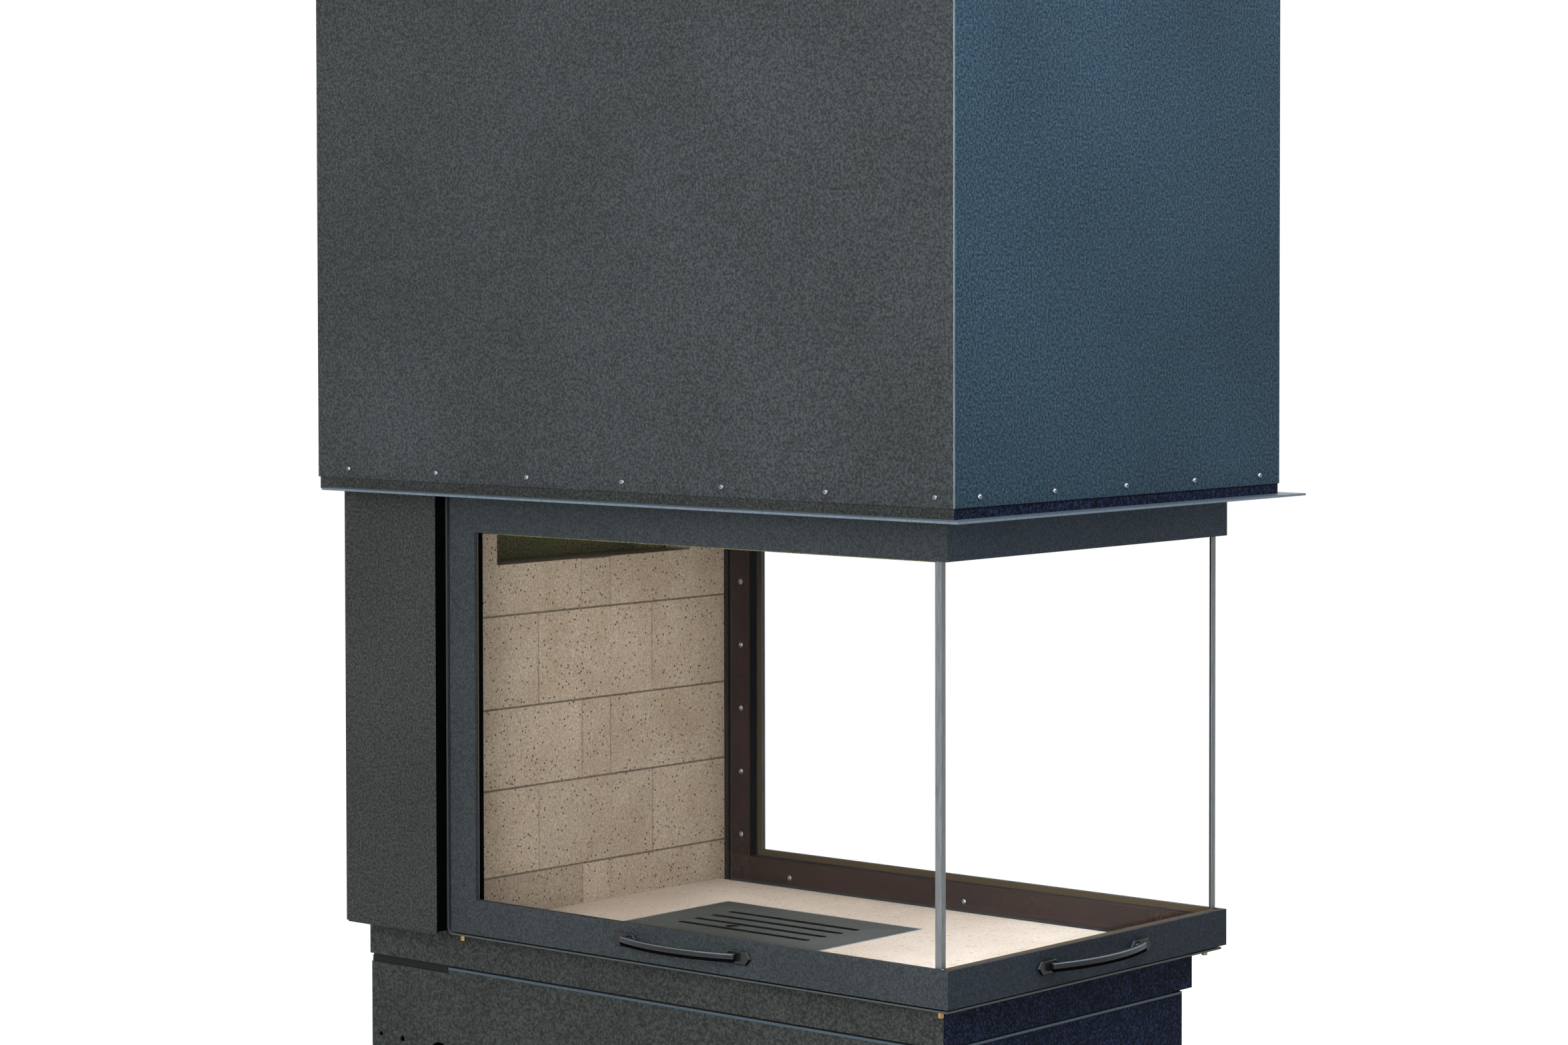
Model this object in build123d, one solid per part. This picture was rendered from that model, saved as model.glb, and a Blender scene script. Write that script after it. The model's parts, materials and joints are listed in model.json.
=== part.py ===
from build123d import *
import math
import os

# A built-in fireplace whose fire shows on two long sides and one short end. A glazed door wraps the three
# sides and lifts straight up into the hood, hung on cables and balanced by two weights behind the brick wall.
# Millimetres. +X runs from the brick wall to the glazed short end, +Y to the far long side, +Z up.
# The origin is on the floor, in the middle of the overall plan.

# Door, seen from outside
glass_height = 520.0
door_length = 900.0
door_width = 622.0
door_depth = 26.0
bottom_rail_height = 50.0
top_rail_height = 48.0
stile_width = 50.0
lip_thickness = 6.0
door_tube_height = 30.0
door_tube_wall = 2.0
retainer_thickness = 3.0
retainer_setback = 9.0
retainer_margin = 4.0
glass_thickness = 4.0
glass_overlap = 17.0
gasket_thickness = 1.5
end_pane_setback = 16.5
strip_width = 10.0
strip_thickness = 1.5
door_travel = 540.0

# Door handles
handle_length = 250.0
handle_bow = 30.0
handle_bar_depth = 8.0
handle_bar_height = 12.0
handle_drop = 23.0
handle_offset_x = -6.0
handle_plate_length = 44.0
handle_plate_height = 18.0
handle_plate_thickness = 3.0

# Retainer screws
screw_head_radius = 4.5
screw_head_depth = 2.0
screw_reach = 5.0
screw_shank_radius = 2.0
stile_screw_rise = 23.0
stile_screw_pitch = 97.0
stile_screws = 6
stile_screw_inset = 22.0
rail_screws = 3
end_rail_screws = 2
rail_screw_rear_inset = 120.0
rail_screw_front_inset = 110.0
end_screw_spread = 170.0

# Plan of the casing round the door
rear_length = 216.0
hood_proud = 52.0
flange_proud = 78.0
flange_rear_inset = 35.0
casing_proud = 15.0
rear_casing_inset = 14.0
casing_gap = 14.0

# Heights, from the floor up
foot_height = 60.0
lower_box_height = 256.0
shadow_slot = 5.0
band_height = 53.0
deck_thickness = 5.0
door_gap = 1.0
flange_gap = 7.0
flange_thickness = 3.0
hood_gap = 14.0
hood_height = 719.0
hood_screw_rise = 13.0
flue_rise = 70.0

# Base
box_half_width = 267.0
box_rear_inset = 4.0
box_end_inset = 44.0
band_half_width = 277.0
band_rear_inset = 11.0
band_end_inset = 34.0
band_thickness = 3.0
band_foot = 29.0
sheet = 2.0
plate_thickness = 3.0
base_tube = 20.0
base_tube_wall = 2.0
deck_edge_inset = 11.0
notch_length = 160.0
notch_depth = 9.0
small_hole_radius = 3.0
service_hole_radius = 20.0
foot_radius = 30.0
foot_pad_height = 8.0
foot_stud_radius = 8.0
foot_nut_height = 9.0
foot_inset_x = 52.0
foot_inset_y = 47.0

# Combustion air
air_pipe_radius = 75.0
air_pipe_wall = 1.5
air_pipe_drop = 40.0
air_pipe_rise = 107.0
air_pipe_x = -100.0
air_collar_width = 20.0
flap_rise = 40.0
lever_length = 45.0
lever_half_width = 6.0
lever_thickness = 4.0
lever_gap = 6.0
flap_thickness = 2.0
flap_clearance = 1.5
spindle_radius = 4.0

# Firebox
tray_wall = 3.0
tray_floor_depth = 44.0
tray_rim = 10.0
tray_rim_thickness = 2.0
tray_end_gap = 1.0
tray_side_lap = 2.0
slab_thickness = 45.5
brick_setback = 10.0
brick_thickness = 50.0
brick_wall_width = 570.0
brick_heights = [64.0, 126.0, 117.0, 134.5, 179.5]
brick_joint_odd = 30.5
brick_joint_even = 121.5
brick_chamfer = 1.5
smoke_opening_half_width = 206.0
smoke_opening_height = 106.0
grate_length = 363.0
grate_width = 237.0
grate_setback = 336.5
grate_thickness = 11.7
grate_slots = 4
grate_slot_length = 246.0
grate_slot_width = 12.0
grate_slot_pitch = 36.0
lug_radius = 10.0
lug_depth = 5.0
lug_bar_radius = 1.5
grate_frame_wall = 4.0
grate_ledge = 8.0
ash_pan_length = 324.0
ash_pan_width = 200.0
ash_pan_height = 67.0
ash_well_depth = 48.0
ash_hole_radius = 7.0
ash_hole_margin = 50.0
ash_holes = 5
back_plate_thickness = 4.0
cheek_gap = 0.5
duct_depth = 85.0
duct_half_width = 230.0
duct_rise = 215.0
dome_wall = 3.0
dome_clearance = 14.0
skirt_lap = 5.0
skirt_height = 355.0
cone_height = 260.0
cone_top = 240.0
baffle_thickness = 30.0
baffle_boards_count = 3
ledge_width = 12.0
flue_radius = 100.0
flue_wall = 2.0
flue_shoulder = 2.0
flue_x = -60.0
flue_clearance = 2.0
seal_rise = 23.0
seal_height = 14.0
seal_round = 4.0
hanger_rod_radius = 5.0
hanger_rod_spread = 105.0

# Hood
post_leg = 30.0
rear_post_leg = 20.0
post_thickness = 3.0
flange_upright_height = 44.0
hood_corner_radius = 1.5
side_screws = 7
end_screws = 5
hood_screw_radius = 4.2
hood_screw_height = 3.0
hood_screw_margin = 50.0
end_screw_margin = 50.5

# Lift
rod_radius = 8.0
rod_out = 27.0
rod_front_inset = 119.0
rod_rear_inset = 81.0
hanger_half_width = 30.0
hanger_thickness = 5.5
hanger_height = 94.0
guide_half_width = 20.0
guide_height = 50.0
guide_out = 41.0
guide_rise = 42.0
shaft_radius = 10.0
shaft_drop = 71.0
pulley_radius = 40.0
pulley_width = 14.0
pulley_rim = 6.0
cable_radius = 2.0
cable_inset = 13.0
bracket_thickness = 8.0
bracket_half_width = 35.0
bracket_out = 1.0
front_shaft_offset = 72.0
rear_shaft_inset = 90.0
weight_length = 84.0
weight_width = 46.0
weight_floor_gap = 11.0
weight_drop = 80.0
chute_drop = 70.0
chute_front_gap = 6.0
chute_side_gap = 4.0
chute_thickness = 2.0
eye_height = 35.0

# Clearances
running_clearance = 0.05
fit_clearance = 0.1
loose_clearance = 0.3

# Heights worked out from the sizes above
z_box_low = foot_height
z_box_high = z_box_low + lower_box_height
z_band_low = z_box_high + shadow_slot
z_deck_low = z_band_low + band_height
z_deck = z_deck_low + deck_thickness
z_door_low = z_deck + door_gap
z_glass_low = z_door_low + bottom_rail_height
z_glass_high = z_glass_low + glass_height
z_door_high = z_glass_high + top_rail_height
z_flange_low = z_door_high + flange_gap
z_flange = z_flange_low + flange_thickness
z_hood_low = z_flange + hood_gap
z_hood_high = z_hood_low + hood_height
z_hood_top = z_hood_high - sheet
z_flue_high = z_hood_high + flue_rise
z_skirt_low = z_glass_high - skirt_lap
z_skirt_high = z_skirt_low + skirt_height
z_cone_high = z_skirt_high + cone_height
z_shaft = z_hood_high - shaft_drop

# Plan worked out from the sizes above
overall_length = rear_length + door_length + flange_proud
x_hood_rear = -overall_length / 2
x_flange_end = overall_length / 2
x_door_end = x_flange_end - flange_proud
x_door_rear = x_door_end - door_length
y_door = door_width / 2
x_hood_end = x_door_end + hood_proud
y_hood = y_door + hood_proud
y_flange = y_door + flange_proud
y_casing = y_door + casing_proud
x_casing_front = x_door_rear - casing_gap
x_casing_rear = x_hood_rear + rear_casing_inset
x_box_rear = x_hood_rear + box_rear_inset
x_box_end = x_door_end - box_end_inset
x_band_rear = x_hood_rear + band_rear_inset
x_band_end = x_door_end - band_end_inset
x_deck_end = x_door_end - deck_edge_inset
y_deck = y_door - deck_edge_inset
y_door_inner = y_door - door_depth
x_door_inner = x_door_end - door_depth
y_skirt = y_door_inner - dome_clearance
x_skirt_end = x_door_inner - dome_clearance
x_brick = x_door_rear - brick_setback
x_back = x_brick - brick_thickness
x_back_outer = x_back - back_plate_thickness
x_tray_rear = x_brick - tray_wall
front_shaft_x = (x_door_rear + x_door_end) / 2 + front_shaft_offset
rear_shaft_x = x_casing_rear + rear_shaft_inset
x_tray_end = x_skirt_end - tray_end_gap
y_tray = y_skirt + tray_side_lap
grate_x = x_brick + grate_setback


def block(x0, x1, y0, y1, z0, z1):
    """A box between two planes on each axis."""
    return Pos((x0 + x1) / 2, (y0 + y1) / 2, (z0 + z1) / 2) * Box(x1 - x0, y1 - y0, z1 - z0)


def rod_z(x, y, z0, z1, radius):
    """An upright cylinder."""
    return Pos(x, y, (z0 + z1) / 2) * Cylinder(radius, z1 - z0)


def rod_y(x, z, y0, y1, radius):
    """A cylinder that lies along Y."""
    return Pos(x, (y0 + y1) / 2, z) * Rot(90, 0, 0) * Cylinder(radius, y1 - y0)


def rod_x(y, z, x0, x1, radius):
    """A cylinder that lies along X."""
    return Pos((x0 + x1) / 2, y, z) * Rot(0, 90, 0) * Cylinder(radius, x1 - x0)


def far_side(part):
    """The same piece on the far long side."""
    return mirror(part, about=Plane.XZ)


def pair(part):
    """A near piece and the same piece on the far side."""
    return [part, far_side(part)]


def spread(first, last, count):
    """Evenly spaced places from first to last."""
    return [first + (last - first) * i / (count - 1) for i in range(count)]


def save(name, pieces):
    """Write one sub-part, which may be several separate solids."""
    solids = [solid for piece in pieces for solid in piece.solids()]
    export_step(Compound(solids), f"parts/{name}.step")
    print(name, len(solids), "solids")


# Base box and deck


def base_tubes():
    """Four square tubes that carry the band above the lower box."""
    y_out = box_half_width - sheet
    x0, x1 = x_box_rear + sheet, x_box_end - sheet
    z0, z1 = z_band_low - base_tube, z_band_low
    wall = base_tube_wall
    side = block(x0, x1, -y_out, -y_out + base_tube, z0, z1)
    side -= block(x0 - 1, x1 + 1, -y_out + wall, -y_out + base_tube - wall, z0 + wall, z1 - wall)
    y_in = y_out - base_tube
    cross = block(x1 - base_tube, x1, -y_in, y_in, z0, z1)
    cross -= block(x1 - base_tube + wall, x1 - wall, -y_in - 1, y_in + 1, z0 + wall, z1 - wall)
    return pair(side) + [cross, Pos(x0 - x1 + base_tube, 0, 0) * cross]


def base_panels():
    """Near panel with its notch and holes, and the plain far, end and rear panels."""
    side = block(x_box_rear, x_box_end, -box_half_width, -box_half_width + sheet, z_box_low, z_box_high)
    notch = block(x_box_rear - 1, x_box_rear + notch_length, -box_half_width - 1, -box_half_width + sheet + 1,
                  z_box_high - notch_depth, z_box_high + 1)
    holes = [(19.0, 142.0, small_hole_radius), (64.0, 140.0, small_hole_radius + 1),
             (141.0, 125.0, service_hole_radius)]
    near = side - notch
    for along, rise, radius in holes:
        near -= rod_y(x_box_rear + along, z_box_low + rise, -box_half_width - 1, -box_half_width + sheet + 1,
                      radius)
    y_in = box_half_width - sheet
    end = block(x_box_end - sheet, x_box_end, -y_in, y_in, z_box_low, z_box_high)
    rear = block(x_box_rear, x_box_rear + sheet, -y_in, y_in, z_box_low, z_box_high)
    return [near, far_side(side), end, rear]


def foot_places():
    """Plan positions of the four levelling feet."""
    y = box_half_width - foot_inset_y
    return [(x, side * y) for x in (x_box_rear + foot_inset_x, x_box_end - foot_inset_x) for side in (-1, 1)]


def base_plate():
    """Floor of the lower box, with holes for the feet and the air pipe."""
    y_in = box_half_width - sheet
    plate = block(x_box_rear + sheet, x_box_end - sheet, -y_in, y_in, z_box_low, z_box_low + plate_thickness)
    plate -= rod_z(air_pipe_x, 0, z_box_low - 1, z_box_low + plate_thickness + 1,
                   air_pipe_radius + fit_clearance)
    for x, y in foot_places():
        plate -= rod_z(x, y, z_box_low - 1, z_box_low + plate_thickness + 1, foot_stud_radius + fit_clearance)
    return [plate]


def levelling_feet():
    """Round pads on threaded studs, each with a lock nut under and over the base plate."""
    pieces = []
    for x, y in foot_places():
        pad = Pos(x, y, 0) * extrude(Circle(foot_radius), foot_pad_height, taper=15)
        stud_high = z_box_low + plate_thickness + 2 * foot_nut_height
        pieces.append(pad + rod_z(x, y, foot_pad_height - 1, stud_high, foot_stud_radius))
        for z in (z_box_low - foot_nut_height, z_box_low + plate_thickness):
            nut = Pos(x, y, z) * extrude(RegularPolygon(foot_stud_radius * 1.75, 6), foot_nut_height)
            pieces.append(nut - rod_z(x, y, z - 1, z + foot_nut_height + 1, foot_stud_radius + fit_clearance))
    return pieces


def base_band():
    """Four angle strips that stand back under the deck."""
    x0, x1, y = x_band_rear, x_band_end, band_half_width
    t, foot, z0, z1 = band_thickness, band_foot, z_band_low, z_deck_low
    side = block(x0, x1, -y, -y + t, z0, z1) + block(x0 + t, x1 - t, -y + t, -y + t + foot, z0, z0 + t)
    y_web, y_foot = y - t, y - t - foot
    end = block(x1 - t, x1, -y_web, y_web, z0, z1) + block(x1 - t - foot, x1 - t, -y_foot, y_foot, z0, z0 + t)
    rear = block(x0, x0 + t, -y_web, y_web, z0, z1) + block(x0 + t, x0 + t + foot, -y_foot, y_foot, z0, z0 + t)
    return pair(side) + [end, rear]


def stop_places():
    """Plan positions of the near door stops."""
    return [(x_door_rear + 7.0, -y_deck + 6.0), (x_deck_end - 14.0, -y_deck + 6.0)]


stop_radius = 4.0


def hearth_deck():
    """Steel plate that carries the bricks, the tray and the casing, with a hole for the tray."""
    deck = block(x_casing_front, x_deck_end, -y_deck, y_deck, z_deck_low, z_deck)
    deck += block(x_casing_rear + sheet, x_casing_front, -y_casing + sheet, y_casing - sheet, z_deck_low, z_deck)
    deck -= block(x_tray_rear, x_tray_end, -y_tray, y_tray, z_deck_low - 1, z_deck + 1)
    for x, y in stop_places():
        for side in (-1, 1):
            deck -= rod_z(x, side * y, z_deck_low - 1, z_deck + 1, stop_radius + fit_clearance)
    return [deck]


def door_stops():
    """Brass screws through the deck, on which the lowered door comes to rest."""
    stops = []
    for x, y in stop_places():
        stop = rod_z(x, y, z_deck_low - 9.0, z_door_low - loose_clearance, stop_radius)
        stops += pair(stop)
    return stops


# Combustion air


def air_pipe():
    """Spigot for outside air, with a welded collar under the base plate and holes for the flap's spindle."""
    z0, z1 = z_box_low - air_pipe_drop, z_box_low + air_pipe_rise
    pipe = rod_z(air_pipe_x, 0, z0, z1, air_pipe_radius)
    pipe += rod_z(air_pipe_x, 0, z_box_low - plate_thickness, z_box_low, air_pipe_radius + air_collar_width)
    pipe -= rod_z(air_pipe_x, 0, z0 - 1, z1 + 1, air_pipe_radius - air_pipe_wall)
    reach = air_pipe_radius + 1
    pipe -= rod_y(air_pipe_x, z_flap, -reach, reach, spindle_radius + running_clearance)
    return [pipe]


z_flap = z_box_low + flap_rise


def flap_disc():
    """Round plate that closes the air pipe when it lies level."""
    radius = air_pipe_radius - air_pipe_wall - flap_clearance
    return rod_z(air_pipe_x, 0, z_flap - flap_thickness / 2, z_flap + flap_thickness / 2, radius)


def flap_spindle():
    """Slotted spindle that holds the flap, with its lever outside the pipe."""
    y_lever = air_pipe_radius + lever_gap
    y_end = y_lever + lever_thickness
    knob_x = air_pipe_x + lever_length
    spindle = rod_y(air_pipe_x, z_flap, -y_end - spindle_radius / 2, y_lever, spindle_radius)
    lever = block(air_pipe_x - lever_half_width, knob_x, -y_end, -y_lever, z_flap - lever_half_width,
                  z_flap + lever_half_width)
    lever += rod_y(knob_x, z_flap, -y_end, -y_lever, lever_half_width)
    return [spindle + lever - flap_disc()]


# Firebox


x_tray_in = x_tray_rear + tray_wall
x_tray_in_end = x_tray_end - tray_wall
y_tray_in = y_tray - tray_wall
z_tray_floor = z_deck - tray_floor_depth + tray_wall
z_slab = z_tray_floor + slab_thickness
frame_length = grate_length + 2 * grate_frame_wall
frame_width = grate_width + 2 * grate_frame_wall
z_frame_low = z_slab - grate_thickness - tray_wall - loose_clearance
z_well_low = z_tray_floor - ash_well_depth
well_length = frame_length
well_width = frame_width - 1.0


def centred(length, width, z0, z1, x=grate_x):
    """A box centred on the grate."""
    return block(x - length / 2, x + length / 2, -width / 2, width / 2, z0, z1)


def hearth_tray():
    """Sheet tray that hangs in the deck on its rim, and the ash well welded under it."""
    w = tray_wall
    z_pan_low = z_tray_floor - w
    pan = block(x_tray_rear, x_tray_end, -y_tray, y_tray, z_pan_low, z_deck)
    pan += block(x_tray_rear + w, x_tray_end + tray_rim, -y_tray - tray_rim, y_tray + tray_rim, z_deck,
                 z_deck + tray_rim_thickness)
    pan -= block(x_tray_in, x_tray_in_end, -y_tray_in, y_tray_in, z_tray_floor, z_deck + tray_rim)
    pan -= centred(well_length - 2 * w, well_width - 2 * w, z_pan_low - 1, z_tray_floor + 1)
    well = centred(well_length, well_width, z_well_low, z_pan_low)
    well -= centred(well_length - 2 * w, well_width - 2 * w, z_well_low + w, z_tray_floor)
    reach = well_length / 2 - ash_hole_margin
    for x in spread(grate_x - reach, grate_x + reach, ash_holes):
        well -= rod_y(x, z_well_low + ash_well_depth / 2, -well_width, well_width, ash_hole_radius)
    return [pan, well]


def hearth_slab():
    """Cream firebrick floor with a stepped hole for the grate frame and the ash pan."""
    slab = block(x_tray_in, x_tray_in_end, -y_tray_in, y_tray_in, z_tray_floor, z_slab)
    slab -= centred(frame_length, frame_width, z_frame_low, z_slab + 1)
    slab -= centred(ash_pan_length + 6.0, ash_pan_width + 5.0, z_tray_floor - 1, z_slab)
    return [slab]


def grate_frame():
    """Cast frame in the step of the slab, with the ledge that the grate rests on."""
    frame = centred(frame_length, frame_width, z_frame_low, z_slab)
    frame -= centred(grate_length, grate_width, z_frame_low + tray_wall, z_slab + 1)
    frame -= centred(grate_length - 2 * grate_ledge, grate_width - 2 * grate_ledge, z_frame_low - 1, z_slab)
    return [frame]


def grate():
    """Cast grate with long slots and a lifting lug."""
    z0 = z_slab - grate_thickness
    body = centred(grate_length - 1.0, grate_width - 1.0, z0, z_slab)
    start = -(grate_slots - 1) * grate_slot_pitch / 2
    for i in range(grate_slots):
        y = start + i * grate_slot_pitch
        slot = Pos(grate_x, y, z0 - 1) * extrude(SlotOverall(grate_slot_length, grate_slot_width), z_slab - z0 + 2)
        body -= slot
    lug_x, lug_y = grate_x - grate_slot_pitch, start + 0.5 * grate_slot_pitch
    body -= rod_z(lug_x, lug_y, z_slab - lug_depth, z_slab + 1, lug_radius)
    body += rod_y(lug_x, z_slab - lug_depth / 2, lug_y - lug_radius - 1, lug_y + lug_radius + 1, lug_bar_radius)
    return [body]


def ash_pan():
    """Pan in the ash well, lifted out by its cross bar once the grate is out."""
    z0 = z_well_low + tray_wall
    pan = centred(ash_pan_length, ash_pan_width, z0, z0 + ash_pan_height)
    pan -= centred(ash_pan_length - 3.0, ash_pan_width - 3.0, z0 + 1.5, z0 + ash_pan_height + 1)
    half = ash_pan_width / 2 - 1.0
    return [pan + rod_y(grate_x, z0 + ash_pan_height - 8.0, -half, half, 3.0)]


def brick(y0, y1, z0, z1):
    """One firebrick of the rear wall, with worn front edges."""
    body = block(x_back, x_brick, y0, y1, z0, z1)
    return chamfer(body.faces().sort_by(Axis.X)[-1].edges(), brick_chamfer)


def course(number):
    """The three bricks of one course, counted from the deck."""
    z0 = z_deck + sum(brick_heights[:number])
    z1 = z0 + brick_heights[number]
    joint = brick_joint_even if number % 2 else brick_joint_odd
    y = brick_wall_width / 2
    return [brick(-y, -joint, z0, z1), brick(-joint, joint, z0, z1), brick(joint, y, z0, z1)]


z_brick_high = z_deck + sum(brick_heights)
z_smoke_low = z_brick_high - smoke_opening_height


def top_course():
    """Bricks round the smoke opening: the outer two are notched, the middle one is low."""
    z0 = z_brick_high - brick_heights[-1]
    y = brick_wall_width / 2
    outer = brick(-y, -brick_joint_odd, z0, z_brick_high)
    outer -= block(x_back - 1, x_brick + 1, -smoke_opening_half_width, 0, z_smoke_low, z_brick_high + 1)
    shoulder = y_skirt - dome_wall - cheek_gap
    outer -= block(x_back - 1, x_brick + 1, -y - 1, -shoulder, z_skirt_low - loose_clearance, z_brick_high + 1)
    return pair(outer) + [brick(-brick_joint_odd, brick_joint_odd, z0, z_smoke_low)]


def back_plate():
    """Steel back behind the bricks, with a cheek down each end of the wall."""
    y_in = brick_wall_width / 2 + cheek_gap
    y_out = y_in + tray_wall
    plate = block(x_back_outer, x_back, -y_out, y_out, z_deck, z_skirt_low)
    for side in (-1, 1):
        y0, y1 = sorted((side * y_in, side * y_out))
        plate += block(x_back, x_door_rear - 5.0, y0, y1, z_deck, z_skirt_low)
    plate -= block(x_back_outer - 1, x_back + 1, -smoke_opening_half_width, smoke_opening_half_width,
                   z_smoke_low, z_skirt_low + 1)
    return [plate]


def smoke_duct():
    """Box behind the wall that leads the smoke from the opening up into the dome."""
    z0, z1 = z_smoke_low - 9.0, z_skirt_low + duct_rise
    duct = block(x_back_outer - duct_depth, x_back_outer, -duct_half_width, duct_half_width, z0, z1)
    w = dome_wall
    duct -= block(x_back_outer - duct_depth + w, x_back_outer + 1, -duct_half_width + w, duct_half_width - w,
                  z0 + w, z1 - w)
    return [duct]


def dome_cone(shrink):
    """Solid of the tapered part of the dome, made smaller on every side by a wall."""
    z0, z1 = z_skirt_high, z_cone_high - shrink
    low = Rectangle(x_skirt_end - x_back_outer - 2 * shrink, 2 * (y_skirt - shrink))
    high = Rectangle(cone_top - 2 * shrink, cone_top - 2 * shrink)
    return loft([Pos((x_skirt_end + x_back_outer) / 2, 0, z0) * low, Pos(flue_x, 0, z1) * high], ruled=True)


def hip(x_side, y_side):
    """Plane through a sloping corner of the dome, which faces the plate on its long side."""
    x_low = x_skirt_end if x_side > 0 else x_back_outer
    low = Vector(x_low, y_side * y_skirt, z_skirt_high)
    high = Vector(flue_x + x_side * cone_top / 2, y_side * cone_top / 2, z_cone_high)
    across = Vector(x_side, y_side, 0)
    return Plane(origin=low, z_dir=(high - low).cross(across) * (x_side * y_side))


def dome_slopes():
    """The four sloping plates of the dome, mitred where they meet."""
    x0, x1, y = x_back_outer - 1, x_skirt_end + 1, y_skirt + 1
    z0, z1 = z_skirt_high, z_cone_high - dome_wall
    shell = dome_cone(0) - dome_cone(dome_wall)
    long_side = shell & block(x0, x1, -y, 0, z0, z1)
    for x_side in (-1, 1):
        long_side = split(long_side, bisect_by=hip(x_side, -1), keep=Keep.TOP)
    short_sides = []
    for x_side, half in ((-1, block(x0, flue_x, -y, y, z0, z1)), (1, block(flue_x, x1, -y, y, z0, z1))):
        plate = shell & half
        for y_side in (-1, 1):
            plate = split(plate, bisect_by=hip(x_side, y_side), keep=Keep.BOTTOM)
        short_sides.append(plate)
    return pair(long_side) + short_sides


def smoke_dome():
    """Welded plates of the dome over the fire: its skirt, its taper, the flue ring and the baffle's ledges."""
    w = dome_wall
    side = block(x_back_outer, x_skirt_end, -y_skirt, -y_skirt + w, z_skirt_low, z_skirt_high)
    end = block(x_skirt_end - w, x_skirt_end, -y_skirt + w, y_skirt - w, z_skirt_low, z_skirt_high)
    back = block(x_back_outer, x_back_outer + w, -y_skirt + w, y_skirt - w, z_skirt_low, z_skirt_high)
    back -= block(x_back_outer - 1, x_back_outer + w + 1, -smoke_opening_half_width, smoke_opening_half_width,
                  z_skirt_low - 1, z_skirt_low + duct_rise - 2 * w)
    reach = cone_top
    ring = dome_cone(0) & block(flue_x - reach, flue_x + reach, -reach, reach, z_cone_high - w, z_cone_high)
    ring -= rod_z(flue_x, 0, z_cone_high - w - 1, z_cone_high + 1, flue_radius - flue_wall)
    y_ledge = -y_skirt + w
    ledge = block(x_brick + fit_clearance, x_skirt_end - w, y_ledge, y_ledge + ledge_width, z_brick_high - w,
                  z_brick_high)
    return pair(side) + [end, back] + dome_slopes() + [ring] + pair(ledge)


def baffle_boards():
    """Loose insulating boards over the fire, on the ledges of the dome and the top of the bricks."""
    x0, x1 = x_back + fit_clearance, x_skirt_end - dome_wall - 1.0
    y = y_skirt - dome_wall - 1.0
    step = (x1 - x0) / baffle_boards_count
    board = block(x0, x0 + step - fit_clearance, -y, y, z_brick_high, z_brick_high + baffle_thickness)
    return [Pos(i * step, 0, 0) * board for i in range(baffle_boards_count)]


def flue_collar():
    """Round neck from the dome up through the hood, and the spigot above its shoulder for the flue pipe."""
    pipe = rod_z(flue_x, 0, z_cone_high, z_hood_high, flue_radius + flue_shoulder)
    pipe += rod_z(flue_x, 0, z_hood_high, z_flue_high, flue_radius)
    return [pipe - rod_z(flue_x, 0, z_cone_high - 1, z_flue_high + 1, flue_radius - flue_wall)]


def dome_hangers():
    """Threaded rods that hang the dome from the hood top."""
    spots = [(flue_x + i * hanger_rod_spread, j * hanger_rod_spread) for i in (-1, 1) for j in (-1, 1)]
    return [rod_z(x, y, z_cone_high, z_hood_top, hanger_rod_radius) for x, y in spots]


def dome_seal():
    """Rope seal round the skirt that the closed door presses on."""
    z0 = z_skirt_low + seal_rise
    z1 = z0 + seal_height
    y_out, x_out = y_door_inner - loose_clearance, x_door_inner - loose_clearance
    side = block(x_brick, x_out, -y_out, -y_skirt, z0, z1)
    side = fillet(side.edges().filter_by(Axis.X).group_by(Axis.Y)[0], seal_round)
    end = block(x_skirt_end, x_out, -y_skirt, y_skirt, z0, z1)
    end = fillet(end.edges().filter_by(Axis.Y).group_by(Axis.X)[-1], seal_round)
    return pair(side) + [end]


# Casing behind the door


def side_casings():
    """Folded sheets beside the weights, each with a return beside the door."""
    z0 = z_deck_low + 2.0
    panel = block(x_casing_rear, x_casing_front, -y_casing, -y_casing + sheet, z0, z_flange_low)
    lip = block(x_casing_front - sheet, x_casing_front, -y_casing, -y_deck - 2.0, z0, z_flange_low)
    notch = block(x_casing_front - sheet - 1, x_casing_front + 1, -y_casing + sheet, 0, z0 - 1, z_deck)
    return pair(panel + (lip - notch))


def rear_casing():
    """Flat sheet across the back."""
    y = y_casing - sheet
    return [block(x_casing_rear, x_casing_rear + sheet, -y, y, z_deck_low + 2.0, z_flange_low)]


seal_bar = 3.0
seal_bar_depth = 6.0


def seal_edge():
    """Bent bar down the casing and along the edge of the deck, which the door closes against."""
    x0, z0 = x_casing_front, z_deck_low
    bar = block(x0, x_deck_end, -y_deck - seal_bar_depth, -y_deck, z0, z_flange_low)
    bar -= block(x0 + seal_bar, x_deck_end + 1, -y_deck - seal_bar_depth - 1, -y_deck + 1, z0 + seal_bar,
                 z_flange_low + 1)
    corners = bar.edges().filter_by(Axis.Y).sort_by(lambda e: abs(e.center().X - x0) + abs(e.center().Z - z0))
    bend = 8.0
    bar = fillet(corners[1], bend)
    outer = bar.edges().filter_by(Axis.Y).sort_by(lambda e: abs(e.center().X - x0) + abs(e.center().Z - z0))
    bar = fillet(outer[0], bend + seal_bar)
    y = y_deck + seal_bar_depth
    return pair(bar) + [block(x_deck_end, x_deck_end + seal_bar_depth, -y, y, z0, z0 + seal_bar)]


# Hood and its flange


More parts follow.
